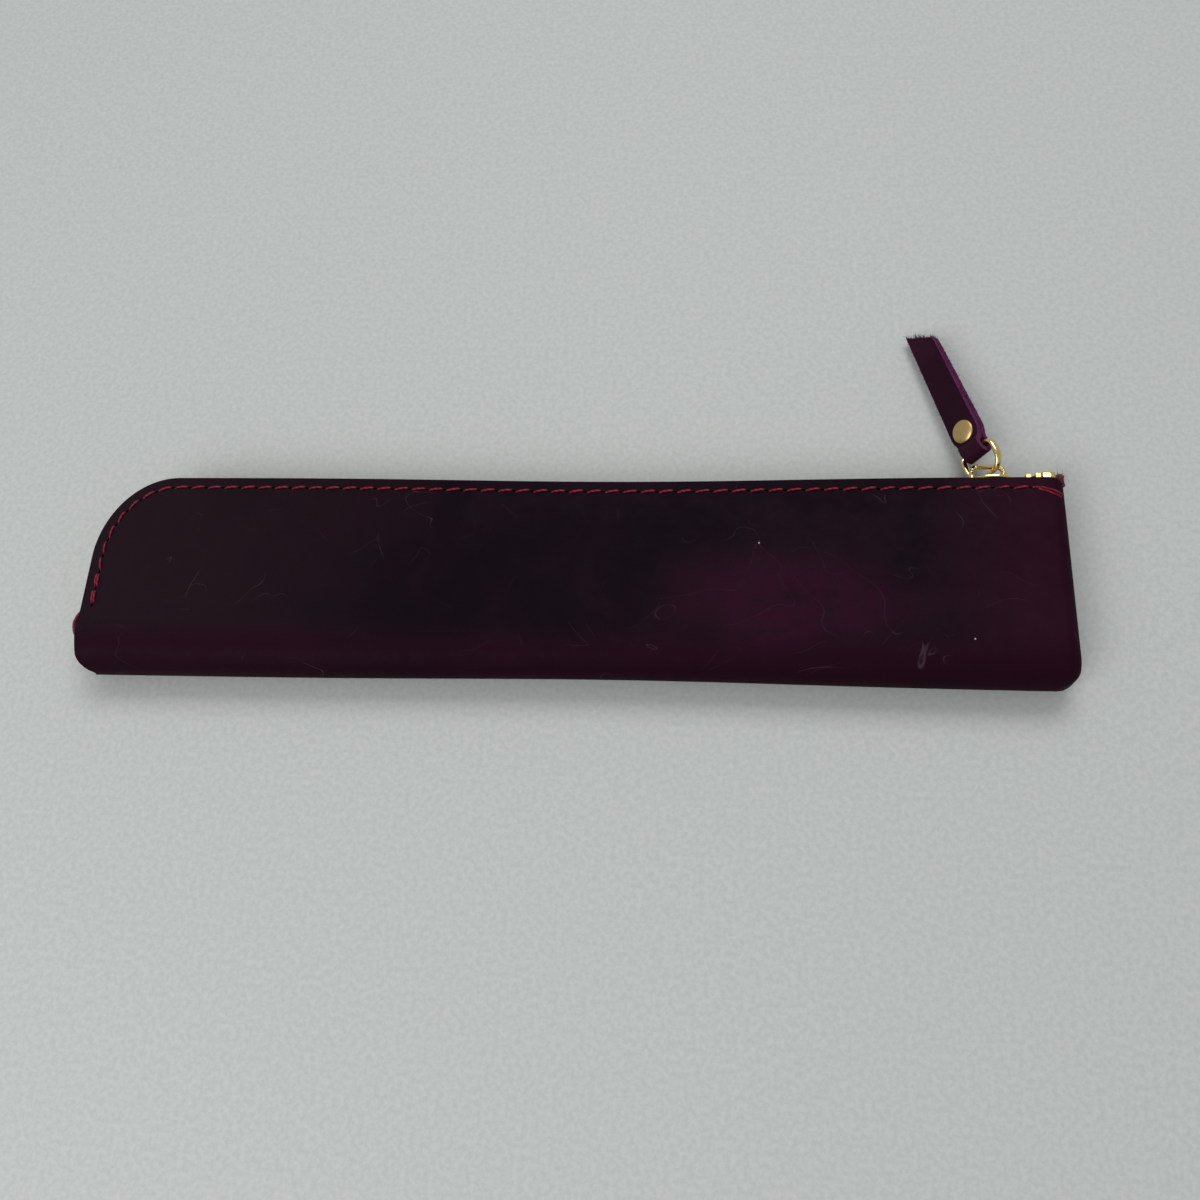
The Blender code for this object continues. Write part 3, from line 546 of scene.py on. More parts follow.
def skinRelief(x, y, side):       # small forms of a panel: the sewn groove, the ridge over the tape, waves
    depth = edgeDepth(x, y)
    ends = smooth((case["length"] - 4 - x) / 8)
    relief = -wrap["seamGroove"] * hump(depth, wrap["seamDepth"], wrap["seamWidth"])
    if side < 0:        # pressed flat where the case rests on the table
        return relief
    relief += wrap["ridgeHeight"] * hump(depth, wrap["ridgeDepth"], wrap["ridgeWidth"]) * ends
    calm = smooth(depth / 6) * smooth((y - 8) / 10) * ends
    wave = noise.noise(Vector((x / wrap["waveX"], y / wrap["waveY"], 4.2))) - 0.35
    return relief + calm * wrap["wave"] * wave


def skinHalf(x, y, side):
    return outerHalf(x, y) + skinRelief(x, y, side)


def wrapRow(x, row, drop):        # direction to the outside, half thickness, y of the middle line
    kind, value, side = row
    if kind == "fold":
        return (-math.sin(value), math.cos(value)), case["fold"], case["fold"]
    top = zipEdgeY(x) - drop
    y = top + (case["fold"] - top) * value
    return (0.0, side), skinHalf(x, y, side), y


def wrapPoint(u, v):
    column = columnPlan[round(u * (len(columnPlan) - 1))]
    row = rowPlan[round(v * (len(rowPlan) - 1))]
    if column[0] == "flat":
        x = column[1]
        out, half, middle = wrapRow(x, row, 0.0)
        y = middle + out[0] * case["fold"]
        short = case["foldShort"] * smooth((case["foldShortY"] - y) / case["foldShortSpan"])
        x += max(0.0, 1 - x / case["cornerX"]) * (cornerInset(y, case["cornerLeft"]) + short)
        return onCase(x, middle + out[0] * half, midZ + out[1] * half)
    _, turned, back, length = column
    out, half, middle = wrapRow(case["length"], row, case["flapDrop"] * smooth(turned))
    y = middle + out[0] * case["fold"]
    radius = half - case["flapGap"] - case["flapTurn"]
    first, second = math.pi / 2 * turned, math.pi / 2 * back
    x = case["length"] - cornerInset(y, case["flapCorner"]) * math.cos(first)
    x -= radius * (1 - math.sin(first)) + case["flapTurn"] * (1 - math.cos(second)) + length
    half -= radius * (1 - math.cos(first)) + case["flapTurn"] * math.sin(second)
    return onCase(x, middle + out[0] * half, midZ + out[1] * half)


bm = bmesh.new()
mappedGrid(bm, len(columnPlan) - 1, len(rowPlan) - 1, wrapPoint)
faceOut(bm, lambda centre: Vector((0, 0, centre.z - midZ / 1000)))
thickenSheet(bm, case["leather"] / 1000)
roundRim(bm, wrap["rim"] / 1000)
leatherCase = newPiece("leather_case", bm, "case", [oiledLeather, suedeSide, cutEdge])
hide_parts("leather_wrap")
print("leather case made")


# Stitches: a saddle stitch along the zip edge on both faces, and the hidden seam of the right end

seam = {
    "pitch": 3.88,
    "firstX": 202.84,         # the hole nearest the right end
    "lastY": 10.2,            # the last hole, on the left end
    "gap": 0.60,              # leather showing between two stitches, at the hole
    "thread": 0.24,
    "slant": 0.30,            # a stitch starts this far below its line and ends as far above
    "rise": 0.30,
    "riseBack": 0.12,
    "sunk": 0.22,             # its ends go this deep into the holes
    "doubled": 2,             # the last stitches at the left end are sewn twice,
    "apart": 0.26,            # this far to either side of the line
    "hole": (0.50, 0.30),
    "holeLift": 0.015,
    "holeDeep": 0.12,
}
# the thread doubled back over the right end: start and end from the first hole, and how far each drops
endThreads = ((-0.3, -2.4, 0.0, 0.0), (-2.0, -6.3, -0.1, 1.5), (-1.5, -6.0, 0.3, 2.3))
endLook = {"radius": 0.22, "round": 2.8, "rise": 0.24, "sunk": 0.1}


def insetPoint(distance, inset):
    point, normal = onEdge(distance)
    return point - normal * inset


def stitchPlaces():       # distances along the zip edge that space the holes evenly on their own line
    distance = case["length"] - seam["firstX"]
    found = [distance]
    walked = 0.0
    previous = insetPoint(distance, wrap["seamDepth"])
    while True:
        distance += 0.05
        place = insetPoint(distance, wrap["seamDepth"])
        walked += (place - previous).length
        previous = place
        if place.y < seam["lastY"] and place.x < case["cornerX"]:
            return found
        if walked >= seam["pitch"]:
            found.append(distance)
            walked = 0.0


def onSkin(distance, inset, lift, side):
    place = insetPoint(distance, inset)
    return onCase(place.x, place.y, midZ + side * (skinHalf(place.x, place.y, side) + lift))


def addStitch(bm, start, end, side, slant, radius, shift):
    points, radii = [], []
    rise = seam["rise"] if side > 0 else seam["riseBack"]
    for t in shares(7):
        bow = math.sin(math.pi * t) ** 0.5
        inset = wrap["seamDepth"] + shift + slant * (2 * t - 1)
        points.append(onSkin(start + (end - start) * t, inset, rise * bow - seam["sunk"] * (1 - bow), side))
        radii.append(radius / 1000 * (0.72 + 0.28 * bow))
    tube(bm, points, radii, sides=6, squash=0.85)


def addEndThread(bm, start, end, low, high):
    points = []
    for t in shares(10):
        place = insetPoint(start + (end - start) * t, wrap["seamDepth"])
        x, y = place.x, place.y - low - (high - low) * t
        curl = max(0.0, x - case["length"] + endLook["round"]) / endLook["round"]
        fall = endLook["round"] * (1 - math.sqrt(max(0.0, 1 - curl * curl)))
        bow = math.sin(math.pi * (0.08 + 0.9 * t)) ** 0.4
        lift = endLook["rise"] * bow - endLook["sunk"] - fall
        points.append(onCase(x, y, midZ + skinHalf(min(x, case["length"]), y, 1) + lift))
    tube(bm, points, [endLook["radius"] / 1000] * len(points), sides=8, squash=0.9)


def addHole(bm, mark, side):      # a dark lens on the skin, the painted shade inside the punched hole
    disc = bmesh.ops.create_circle(bm, cap_ends=True, segments=10, radius=1.0)["verts"]
    centre = onSkin(mark, wrap["seamDepth"], seam["holeLift"], side)
    ahead = (onSkin(mark + 0.3, wrap["seamDepth"], seam["holeLift"], side) - centre).normalized()
    across = (onSkin(mark, wrap["seamDepth"] + 0.3, seam["holeLift"], side) - centre).normalized()
    long, wide = seam["hole"]
    for vert in disc:
        vert.co = centre + ahead * vert.co.x * long / 1000 + across * vert.co.y * wide / 1000
    pushed = bmesh.ops.extrude_face_region(bm, geom=[disc[0].link_faces[0]])["geom"]
    for vert in vertsIn(pushed):
        vert.co.z -= side * seam["holeDeep"] / 1000


random.seed(11)
marks = stitchPlaces()
seamNames = ((1, "stitches_front", "seam_thread_front"), (-1, "stitches_back", "seam_thread_back"))
for side, name, node in seamNames:
    bm = bmesh.new()
    holes = bmesh.new()
    gap = seam["gap"] / 2
    for k, (first, second) in enumerate(zip(marks, marks[1:])):
        slant = seam["slant"] * random.uniform(0.75, 1.15) * side
        shifts = (0.0,)
        if k >= len(marks) - 1 - seam["doubled"]:
            slant *= 0.4
            shifts = (-seam["apart"], seam["apart"])
        for shift in shifts:
            radius = seam["thread"] * random.uniform(0.94, 1.06)
            addStitch(bm, first + gap, second - gap, side, slant, radius, shift)
    if side > 0:
        for start, end, low, high in endThreads:
            addEndThread(bm, marks[0] + start, marks[0] + end, low, high)
    # each needle hole is a dark lens of painted shade
    for mark in marks:
        addHole(holes, mark, side)
    for vert in list(bm.verts) + list(holes.verts):
        vert.co.z = max(vert.co.z, tableTop)
    stitches = newPiece(name, bm, "case", [waxedThread])
    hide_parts(node)
    newPiece(name.replace("stitches", "needle_hole_shade"), holes, "case", [needleHoleShade])

hidden = {
    "x": 205.2,
    "from": 8.5,
    "to": 43.0,
    "pitch": 3.85,
    "gap": 0.35,
    "stitch": 3.15,
    "height": 1.95,       # above the middle, on the inner side of each flap
    "rise": 0.25,
    "thread": 0.26,
    "overY": 2.3,         # the last stitch goes over the flaps, this far below the edge
    "overHalf": 2.2,
    "overRise": 0.75,
}
bm = bmesh.new()
for side in (1, -1):
    y = hidden["from"]
    while y + hidden["pitch"] < hidden["to"]:
        points = []
        for t in shares(7):
            lift = hidden["height"] + hidden["rise"] * math.sin(math.pi * t) ** 0.5
            points.append(mm(hidden["x"], y + hidden["gap"] + hidden["stitch"] * t, midZ + side * lift))
        tube(bm, points, [hidden["thread"] / 1000] * len(points), sides=6)
        y += hidden["pitch"]
over = []
for z in (-2.2, -1.5, -0.8, 0.0, 0.8, 1.5, 2.2):
    rise = hidden["overRise"] * (1 - (z / hidden["overHalf"]) ** 2) - 0.2 * abs(z)
    over.append(mm(hidden["x"], case["height"] - hidden["overY"] + rise, midZ + z))
tube(bm, over, [hidden["thread"] / 1000] * len(over), sides=8)
hiddenSeam = newPiece("stitches_right_end", bm, "case", [waxedThread])
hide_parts("side_seam_thread")
print("stitches made:", len(marks))


# The zip: tapes with a corded edge, stamped teeth, stops

zipChain = {
    "pitch": 2.0,
    "firstX": 205.1,
    "lastY": 17.2,
    "straightY": 0.3,                   # below the edge by more than this, the rows are round the corner
    "parting": (193.1, 196.7, 0.9),     # the rows part under the slider
    "lift": (199.7, 204.3, 1.5),        # and stand up beyond it
    "clampHalf": 0.55,
    "nibHalf": 0.38,
    "nibReach": 0.34,                   # a tooth reaches this far past the middle
    "shoulder": 0.16,
    "inner": 0.72,
    "outer": 2.2,
    "top": 0.5,
    "low": -1.7,
    "toothEdge": 0.09,
    "tape": 0.55,
    "tapeEndX": 207.3,
    "tapeEndY": 8.5,
    "tapeDepth": 12.5,
    "cord": (-0.6, 1.7, 0.52),          # height, distance from the middle and radius
}
# the tape from its cord down to its sewn edge: height and distance from the middle
tapeLine = [(-0.75, 1.72), (-1.15, 2.05), (-1.75, 2.5), (-2.5, 2.76), (-3.4, 2.82)]
tapeLine += [(height, tapeLine[-1][1]) for height in (-6.0, -9.0, -zipChain["tapeDepth"])]


def chainShift(distance):      # how far a row stands off the middle and up, at a place on the zip edge
    point = onEdge(distance)[0]
    if point.y < case["height"] - zipChain["straightY"]:
        return 0.0, 0.0
    start, full, most = zipChain["parting"]
    low, high, rise = zipChain["lift"]
    return most * smooth((point.x - start) / (full - start)), rise * smooth((point.x - low) / (high - low))


def tapeSection(v, distance):
    part, lift = chainShift(distance)
    place = v * (len(tapeLine) - 1)
    k = min(int(place), len(tapeLine) - 2)
    (h0, z0), (h1, z1) = tapeLine[k], tapeLine[k + 1]
    share = place - k
    height, z = h0 + (h1 - h0) * share, z0 + (z1 - z0) * share
    near = smooth((height + 6) / 5)      # the sewn part of the tape stays where it is
    return height + lift * near, min(z + part * near, tapeLine[-1][1])


def writeMap(bm, layer, spots):      # the cloth's own map: where each vertex lies along and across it
    for face in bm.faces:
        for loop in face.loops:
            loop[layer].uv = spots[loop.vert]


def addTooth(bm, distance, side):
    part, lift = chainShift(distance)
    low, high, inner, outer = (zipChain[key] for key in ("low", "top", "inner", "outer"))
    body = bmesh.ops.create_cube(bm, size=1.0)["verts"]
    for vert in body:
        vert.co.x *= 2 * zipChain["clampHalf"]
        vert.co.y = low + (vert.co.y + 0.5) * (high - low)
        vert.co.z = inner + (vert.co.z + 0.5) * (outer - inner)
    face = min({f for vert in body for f in vert.link_faces}, key=lambda f: f.calc_center_median().z)
    bmesh.ops.inset_region(bm, faces=[face], thickness=zipChain["shoulder"])
    tip = vertsIn(bmesh.ops.extrude_face_region(bm, geom=[face])["geom"])
    for vert in tip:
        vert.co.z = -zipChain["nibReach"]
        vert.co.x *= zipChain["nibHalf"] / (zipChain["clampHalf"] - zipChain["shoulder"])
    corners = [vert for vert in body if vert.is_valid] + tip
    roundEdges(bm, list({e for vert in corners for e in vert.link_edges}), zipChain["toothEdge"], 1)
    bmesh.ops.recalc_face_normals(bm, faces=bm.faces)
    for vert in bm.verts:
        vert.co = onZip(distance, vert.co.x, vert.co.y + lift, side * (vert.co.z + part))


tapeStart = case["length"] - zipChain["tapeEndX"]
tapeEnd = edgeLengths[-1] - zipChain["tapeEndY"]
for side, name in ((1, "zip_tape_front"), (-1, "zip_tape_back")):
    bm = bmesh.new()
    weave = bm.loops.layers.uv.new("weave")
    spots = {}
    for vert in bmesh.ops.create_grid(bm, x_segments=190, y_segments=14, size=0.5, calc_uvs=False)["verts"]:
        distance = tapeStart + (tapeEnd - tapeStart) * (vert.co.x + 0.5)
        height, z = tapeSection(vert.co.y + 0.5, distance)
        spots[vert] = (distance, (vert.co.y + 0.5) * zipChain["tapeDepth"])
        vert.co = onZip(distance, 0.0, height, side * (z + zipChain["tape"] / 2))
    writeMap(bm, weave, spots)
    faceOut(bm, lambda centre: Vector((0, 0, side)))
    bmesh.ops.solidify(bm, geom=list(bm.faces), thickness=zipChain["tape"] / 1000)
    cordHeight, cordOff, cordRadius = zipChain["cord"]
    cord = []
    for share in shares(150):
        distance = tapeStart + (tapeEnd - tapeStart) * share
        part, lift = chainShift(distance)
        cord.append(onZip(distance, 0.0, cordHeight + lift, side * (cordOff + part)))
    tube(bm, cord, [cordRadius / 1000] * len(cord), sides=8)
    tape = newPiece(name + "_cloth", bm, "case", [tapeCloth])
    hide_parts(name)

for side, name, offset in ((1, "teeth_front", 0.0), (-1, "teeth_back", 1.0)):      # half a pitch apart
    bm = bmesh.new()
    distance = case["length"] - zipChain["firstX"] + offset
    count = 0
    while True:
        point = onEdge(distance)[0]
        if point.x < case["cornerX"] and point.y < zipChain["lastY"]:
            break
        tooth = bmesh.new()
        addTooth(tooth, distance, side)
        joinInto(bm, tooth)
        distance += zipChain["pitch"]
        count += 1
    teeth = newPiece("stamped_" + name, bm, "case", [brassTeeth], shade=False)
    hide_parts(name)
print("zip made:", count, "teeth a side")

stops = {"start": 205.8, "length": 2.9, "low": -0.2, "height": 2.5, "inner": 0.6, "outer": 3.1, "edge": 0.42}
stopLow = case["height"] + stops["low"]
stopMiddle = (stops["inner"] + stops["outer"]) / 2
for side, name in ((1, "top_stop_front"), (-1, "top_stop_back")):
    low = (stops["start"], stopLow, stops["inner"])
    high = (stops["start"] + stops["length"], stopLow + stops["height"], stops["outer"])
    bm = roundedBlock(low, high, stops["edge"])
    for vert in bm.verts:      # pinched on to the cord, so it is waisted half way down
        waist = 1 - 0.12 * hump(vert.co.y, case["height"] + 0.6, 0.5)
        z = stopMiddle + (vert.co.z - stopMiddle) * waist
        vert.co = mm(vert.co.x, vert.co.y, midZ + side * z)
    stop = newPiece("crimped_" + name, bm, "case", [brassPolished])
    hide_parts(name)

bottom = {"low": 15.15, "width": 1.4, "reach": 2.2, "out": 0.7, "depth": 1.7, "edge": 0.35}
low = (-bottom["out"], bottom["low"], -bottom["reach"])
high = (bottom["depth"], bottom["low"] + bottom["width"], bottom["reach"])
bm = roundedBlock(low, high, bottom["edge"])
for vert in bm.verts:
    vert.co = mm(vert.co.x, vert.co.y, midZ + vert.co.z)
stop = newPiece("crimped_bottom_stop", bm, "case", [brassPolished])
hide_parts("bottom_stop")

# the turned-over end of the tape at the left, a folded lens of cloth that shows past the leather
leftFold = {
    "low": 7.1,
    "high": 14.4,
    "reach": 2.8,
    "half": 2.3,
    "cloth": 0.5,
    "turn": 1.24,         # how far round the cloth goes, in half turns
    "crush": 0.22,
    "weave": (10.0, 4.6),
}
middle, half = (leftFold["low"] + leftFold["high"]) / 2, (leftFold["high"] - leftFold["low"]) / 2
bm = bmesh.new()
weave = bm.loops.layers.uv.new("weave")
spots = {}
for vert in bmesh.ops.create_grid(bm, x_segments=36, y_segments=12, size=0.5, calc_uvs=False)["verts"]:
    u, v = vert.co.x + 0.5, vert.co.y + 0.5
    turn = math.pi * leftFold["turn"] * vert.co.x
    ripple = 0.05 * noise.noise(Vector((u * 6, v * 5, 1.0)))
    crush = 1 - leftFold["crush"] * hump(v, 0.5, 0.3) * math.cos(turn) + ripple
    x = -leftFold["reach"] * math.cos(turn) * crush
    y = middle + half * math.sin(min(max(turn, -math.pi / 2), math.pi / 2)) * (0.97 + 0.03 * math.cos(v * 7))
    if turn < -1.5:       # the lower lip hangs a little
        y -= 0.1
    z = leftFold["half"] * (2 * v - 1) * (1 - 0.18 * (1 - abs(math.cos(turn * 0.8))))
    spots[vert] = (u * leftFold["weave"][0], v * leftFold["weave"][1])
    vert.co = mm(x, y, midZ + z)
writeMap(bm, weave, spots)
faceOut(bm, lambda centre: Vector((-1, 0, 0)))
bmesh.ops.solidify(bm, geom=list(bm.faces), thickness=leftFold["cloth"] / 1000)
newPiece("tape_fold_left", bm, "case", [tapeCloth])

# the frayed knob of tape at the right end, rolled up beside the top stops
knob = {"low": (208.75, 44.1, -2.2), "high": (210.5, 47.3, 2.7), "edge": 0.75, "fray": 70}
middle = (Vector(knob["low"]) + Vector(knob["high"])) / 2
bm = roundedBlock(knob["low"], knob["high"], knob["edge"], 4)
bmesh.ops.subdivide_edges(bm, edges=list(bm.edges), cuts=2, use_grid_fill=True)
for vert in bm.verts:
    lump = 1 + 0.16 * noise.noise(vert.co * 1.3) + 0.10 * noise.noise(vert.co * 3.7)
    vert.co = middle + (vert.co - middle) * lump
    vert.co.y += 0.25 * math.sin(vert.co.z * 2.2)
weave = bm.loops.layers.uv.new("weave")
writeMap(bm, weave, {vert: (vert.co.z * 1.4, vert.co.y + vert.co.x) for vert in bm.verts})
for vert in bm.verts:
    vert.co = mm(vert.co.x, vert.co.y, midZ + vert.co.z)
newPiece("tape_fold_right", bm, "case", [tapeCloth])


def strand(bm, start, direction, length, bend, radius):      # one loose fibre
    points = [start + direction * length * t + bend * length * t * t for t in (0.0, 0.33, 0.66, 1.0)]
    radii = [radius, radius * 0.9, radius * 0.7, radius * 0.35]
    tube(bm, points, radii, sides=3, lift=Vector((0.31, 0.17, 0.93)))


def anyWay():
    return Vector((random.gauss(0, 1), random.gauss(0, 1), random.gauss(0, 1))).normalized()


bm = bmesh.new()
for _ in range(knob["fray"]):
    start = mm(random.uniform(208.9, 210.3), random.uniform(44.8, 47.1), midZ + random.uniform(-1.6, 2.8))
    away = (anyWay() * 0.6 + Vector((0.5, 0.5, 0.5))).normalized()
    strand(bm, start, away, random.uniform(0.0005, 0.0012), anyWay() * 0.6, 0.00004)
newPiece("tape_fray_right", bm, "case", [fuzz])
print("stops and tape ends made")


# The slider, its bridge and the ring

slider = {
    "centre": 195.5,
    "half": 4.5,
    "nose": 0.62,         # width of its narrow end, as a share
    "power": 0.62,        # 1 is an ellipse, less is squarer
    "wide": 3.9,
    "low": 0.8,
    "top": 1.3,
    "drop": 0.2,          # the rim hangs down this far
    "flange": 0.5,
    "lower": (-2.5, -2.0, 2.1),      # the lower plate: underside, top and half width
    "edge": 0.13,
}


def plate(low, high, wide, drop=0.0):      # rounded shield, broad towards the parted rows
    bm = bmesh.new()
    outline = []
    for share in shares(41)[:-1]:
        turn = 2 * math.pi * share
        x, y = signedPower(math.cos(turn), slider["power"]), signedPower(math.sin(turn), slider["power"])
        narrow = 1 - (1 - slider["nose"]) * smooth(-x * 0.85)
        outline.append((slider["half"] * x, wide * y * narrow))
    ring = bmesh.ops.create_circle(bm, cap_ends=True, segments=len(outline), radius=1.0)["verts"]
    ring.sort(key=lambda vert: math.atan2(vert.co.y, vert.co.x) % (2 * math.pi))
    for vert, (x, y) in zip(ring, outline):
        vert.co = Vector((x, y, high))
    grown = bmesh.ops.extrude_face_region(bm, geom=[bm.faces[:][0]])["geom"]
    under = next(item for item in grown if isinstance(item, bmesh.types.BMFace))
    for vert in under.verts:
        vert.co.z = low - drop
    if drop:      # hollowed from below, so that the rim hangs down over the teeth
        bmesh.ops.inset_region(bm, faces=[under], thickness=slider["flange"], use_even_offset=True)
        for vert in vertsIn(bmesh.ops.extrude_face_region(bm, geom=[under])["geom"]):
            vert.co.z = low
    return bm


body = plate(slider["low"], slider["top"], slider["wide"], slider["drop"])
joinInto(body, plate(*slider["lower"]))
joinInto(body, roundedBlock((2.0, -0.3, -2.2), (4.0, 0.3, slider["low"] + 0.1), 0.2, 2))      # the divider
bmesh.ops.remove_doubles(body, verts=body.verts, dist=0.0001)
sharp = [e for e in body.edges if len(e.link_faces) == 2 and e.calc_face_angle(0.0) > 0.7]
roundEdges(body, sharp, slider["edge"], 2)
for vert in body.verts:
    vert.co = mm(slider["centre"] + vert.co.x, case["height"] + vert.co.z, midZ + vert.co.y)
sliderBody = newPiece("slider_cast", body, "slider", [brassPolished])
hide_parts("slider_body")

bridge = {"half": 3.4, "rise": 3.6, "corner": 1.5, "wire": 0.55, "foot": (0.72, 0.62)}
points = [(-bridge["half"] - 0.1, slider["top"] - 0.2), (-bridge["half"] - 0.04, slider["top"] + 0.25)]
for share in shares(13):
    turn = math.pi / 2 * share
    x = -bridge["half"] + bridge["corner"] * (1 - math.cos(turn))
    points.append((x, slider["top"] + bridge["rise"] - bridge["corner"] * (1 - math.sin(turn))))
points += [(-x, y) for x, y in reversed(points)]
widths = [*bridge["foot"]] + [bridge["wire"]] * (len(points) - 4) + [*reversed(bridge["foot"])]
bm = bmesh.new()
places = [mm(slider["centre"] + x, case["height"] + y, midZ) for x, y in points]
tube(bm, places, [width / 1000 for width in widths], sides=20)
bridgePiece = newPiece("slider_wire_bridge", bm, "slider", [brassPolished])
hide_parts("slider_bridge")


def frameAt(origin, heading, dip, roll):      # y runs along the pull, z out of its face
    turn = Matrix.Rotation(math.radians(heading), 4, "Z") @ Matrix.Rotation(math.radians(-dip), 4, "X")
    return Matrix.Translation(origin) @ (turn @ Matrix.Rotation(math.radians(-roll), 4, "Y"))


ring = {
    "eye": (195.8, 48.1),
    "heading": 21.0,
    "roll": 53.0,
    "length": 6.9,
    "far": 0.40,          # where it is widest, as a share of the length from the far end
    "square": 0.6,
    "half": 4.2,
    "thick": 0.6,
    "thickNear": 0.48,
    "wideNear": 0.55,
    "wideLimb": 1.0,
    "wideFar": 0.8,
    "section": 0.25,      # of the plain ring that it is bent from
}
ringFrame = frameAt(mm(*ring["eye"], midZ), ring["heading"], 0.0, ring["roll"])


def ringPoint(turn):
    power = ring["square"] if math.sin(turn) > 0 else 0.5 + ring["square"] / 2
    far = ring["length"] * ring["far"]
    reach = far if math.sin(turn) > 0 else ring["length"] - far

    def at(angle):
        x, y = signedPower(math.cos(angle), power), signedPower(math.sin(angle), power)
        return Vector((ring["half"] * x, ring["length"] - far + reach * y, 0.0))

    along = (at(turn + 0.004) - at(turn - 0.004)).normalized()
    return at(turn), Vector((along.y, -along.x, 0.0))


bm = bmesh.new()
upright = Matrix.Translation((1, 0, 0)) @ Matrix.Rotation(math.pi / 2, 4, "X")
section = bmesh.ops.create_circle(bm, segments=16, radius=ring["section"], matrix=upright)["verts"]
fullTurn(bm, section + list(bm.edges), 96)
bmesh.ops.remove_doubles(bm, verts=bm.verts, dist=0.00001)
for vert in bm.verts:
    turn = math.atan2(vert.co.y, vert.co.x)
    radial = (math.hypot(vert.co.x, vert.co.y) - 1) / ring["section"]
    rise = vert.co.z / ring["section"]
    end = ring["wideFar"] if math.sin(turn) > 0 else ring["wideNear"]
    wide = end + (ring["wideLimb"] - end) * abs(math.cos(turn)) ** 2
    thick = ring["thick"] + (ring["thickNear"] - ring["thick"]) * smooth(-math.sin(turn))
    centre, out = ringPoint(turn)
    vert.co = ringFrame @ ((centre + out * radial * thick + Vector((0, 0, rise * wide))) / 1000)
linkRing = newPiece("pull_ring", bm, "link", [brassPolished])
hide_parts("pull_link")
print("slider, bridge and ring made")


# The strap: a strip of the same leather, folded round the ring and held by one rivet

strap = {
    "heading": 17.5,
    "dip": 4.2,
    "roll": 51.0,
    "twist": 7.0,
    "twistStart": 8.0,
    "twistLength": 21.0,
    "slant": 4.2,         # the end is cut at a slant, longer on the left
    "offset": 0.1,
    "leather": 1.15,
    "gap": 0.3,
    "nose": 2.45,
    "loop": 1.15,
    "rivet": 4.3,
    "length": 31.1,
    "halfLoop": 2.6,
    "halfRivet": 3.6,
    "halfEnd": 2.9,
    "cap": 2.6,
    "capClear": 0.3,      # the leaves lie together this far before the rivet's cap
    "cup": 0.12,          # the cut strip cups a little
    "ragged": 0.09,
    "rim": 0.14,
    "fibres": 620,
}
barCentre = ringFrame @ Vector((-strap["offset"] / 1000, ring["length"] / 1000, 0.0))
strapFrame = frameAt(barCentre, strap["heading"], strap["dip"], strap["roll"])
leafTop = strap["gap"] / 2 + strap["leather"]


def strapMiddle():        # middle line of the folded strip, from the lower leaf's end to the upper leaf's
    leaf = strap["gap"] / 2 + strap["leather"] / 2
    loop = strap["loop"] + strap["leather"] / 2
    nose = strap["nose"] - strap["leather"] / 2
    settle = strap["rivet"] - strap["cap"] - strap["capClear"]
    turns = [math.pi / 2 * share for share in shares(9)[1:]]
    upper = [(-nose * math.cos(turn), loop * math.sin(turn)) for turn in turns]
    upper += [(settle * t, leaf + (loop - leaf) * (1 - t ** 3)) for t in (0.3, 0.6, 0.9)]
    upper += [(settle + (strap["length"] - settle) * share, leaf) for share in shares(61)[1:]]
    return [(y, -z) for y, z in reversed(upper)] + [(-nose, 0.0)] + upper


strapPoints = strapMiddle()


def strapHalf(y):
    if y <= strap["rivet"]:
        return strap["halfLoop"] + (strap["halfRivet"] - strap["halfLoop"]) * smooth(y / strap["rivet"])
    along = (y - strap["rivet"]) / (strap["length"] - strap["rivet"])
    return strap["halfRivet"] + (strap["halfEnd"] - strap["halfRivet"]) * along


def onStrap(share, y, z, beyond=0.0):      # share from -1 to 1 across the strip; beyond runs on along it
    turn = math.radians(strap["twist"]) * smooth((y - strap["twistStart"]) / strap["twistLength"])
    along = max(0.0, y - strap["twistStart"]) / (strap["length"] - strap["twistStart"])
    slanted = y - strap["slant"] / 2 * share * along ** 3 + beyond
    return strapFrame @ (Matrix.Rotation(turn, 3, "Y") @ Vector((strapHalf(y) * share, slanted, z)) / 1000)


def strapPoint(u, v):
    k = round(v * (len(strapPoints) - 1))
    y, z = strapPoints[k]
    before, after = strapPoints[max(k - 1, 0)], strapPoints[min(k + 1, len(strapPoints) - 1)]
    along = Vector((after[0] - before[0], after[1] - before[1])).normalized()
    out = Vector((-along.y, along.x))
    x = (u - 0.5) * 2
    lift = -strap["cup"] * (1 - x * x) * smooth((y - 8) / 6) if z > 0 else 0.0
    ragged = strap["ragged"] * noise.noise(Vector((y * 1.7, math.copysign(3.0, x), 0.0))) * abs(x) ** 6
    share = x * (1 + ragged / strapHalf(y))
    return onStrap(share, y + out.x * strap["leather"] / 2, z + out.y * strap["leather"] / 2 + lift)


def strapAway(centre):      # up from the upper leaf; elsewhere it has no say
    place = strapFrame.inverted() @ centre
    if place.y < strap["twistStart"] / 1000 and place.z > 0:
        return strapFrame.to_3x3() @ Vector((0, 0, 1))
    return Vector()


bm = bmesh.new()
mappedGrid(bm, 20, len(strapPoints) - 1, strapPoint)
faceOut(bm, strapAway)
thickenSheet(bm, strap["leather"] / 1000)
roundRim(bm, strap["rim"] / 1000)
strapPiece = newPiece("leather_strap", bm, "strap", [strapLeather, suedeSide, rawEdge])
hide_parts("pull_strap")

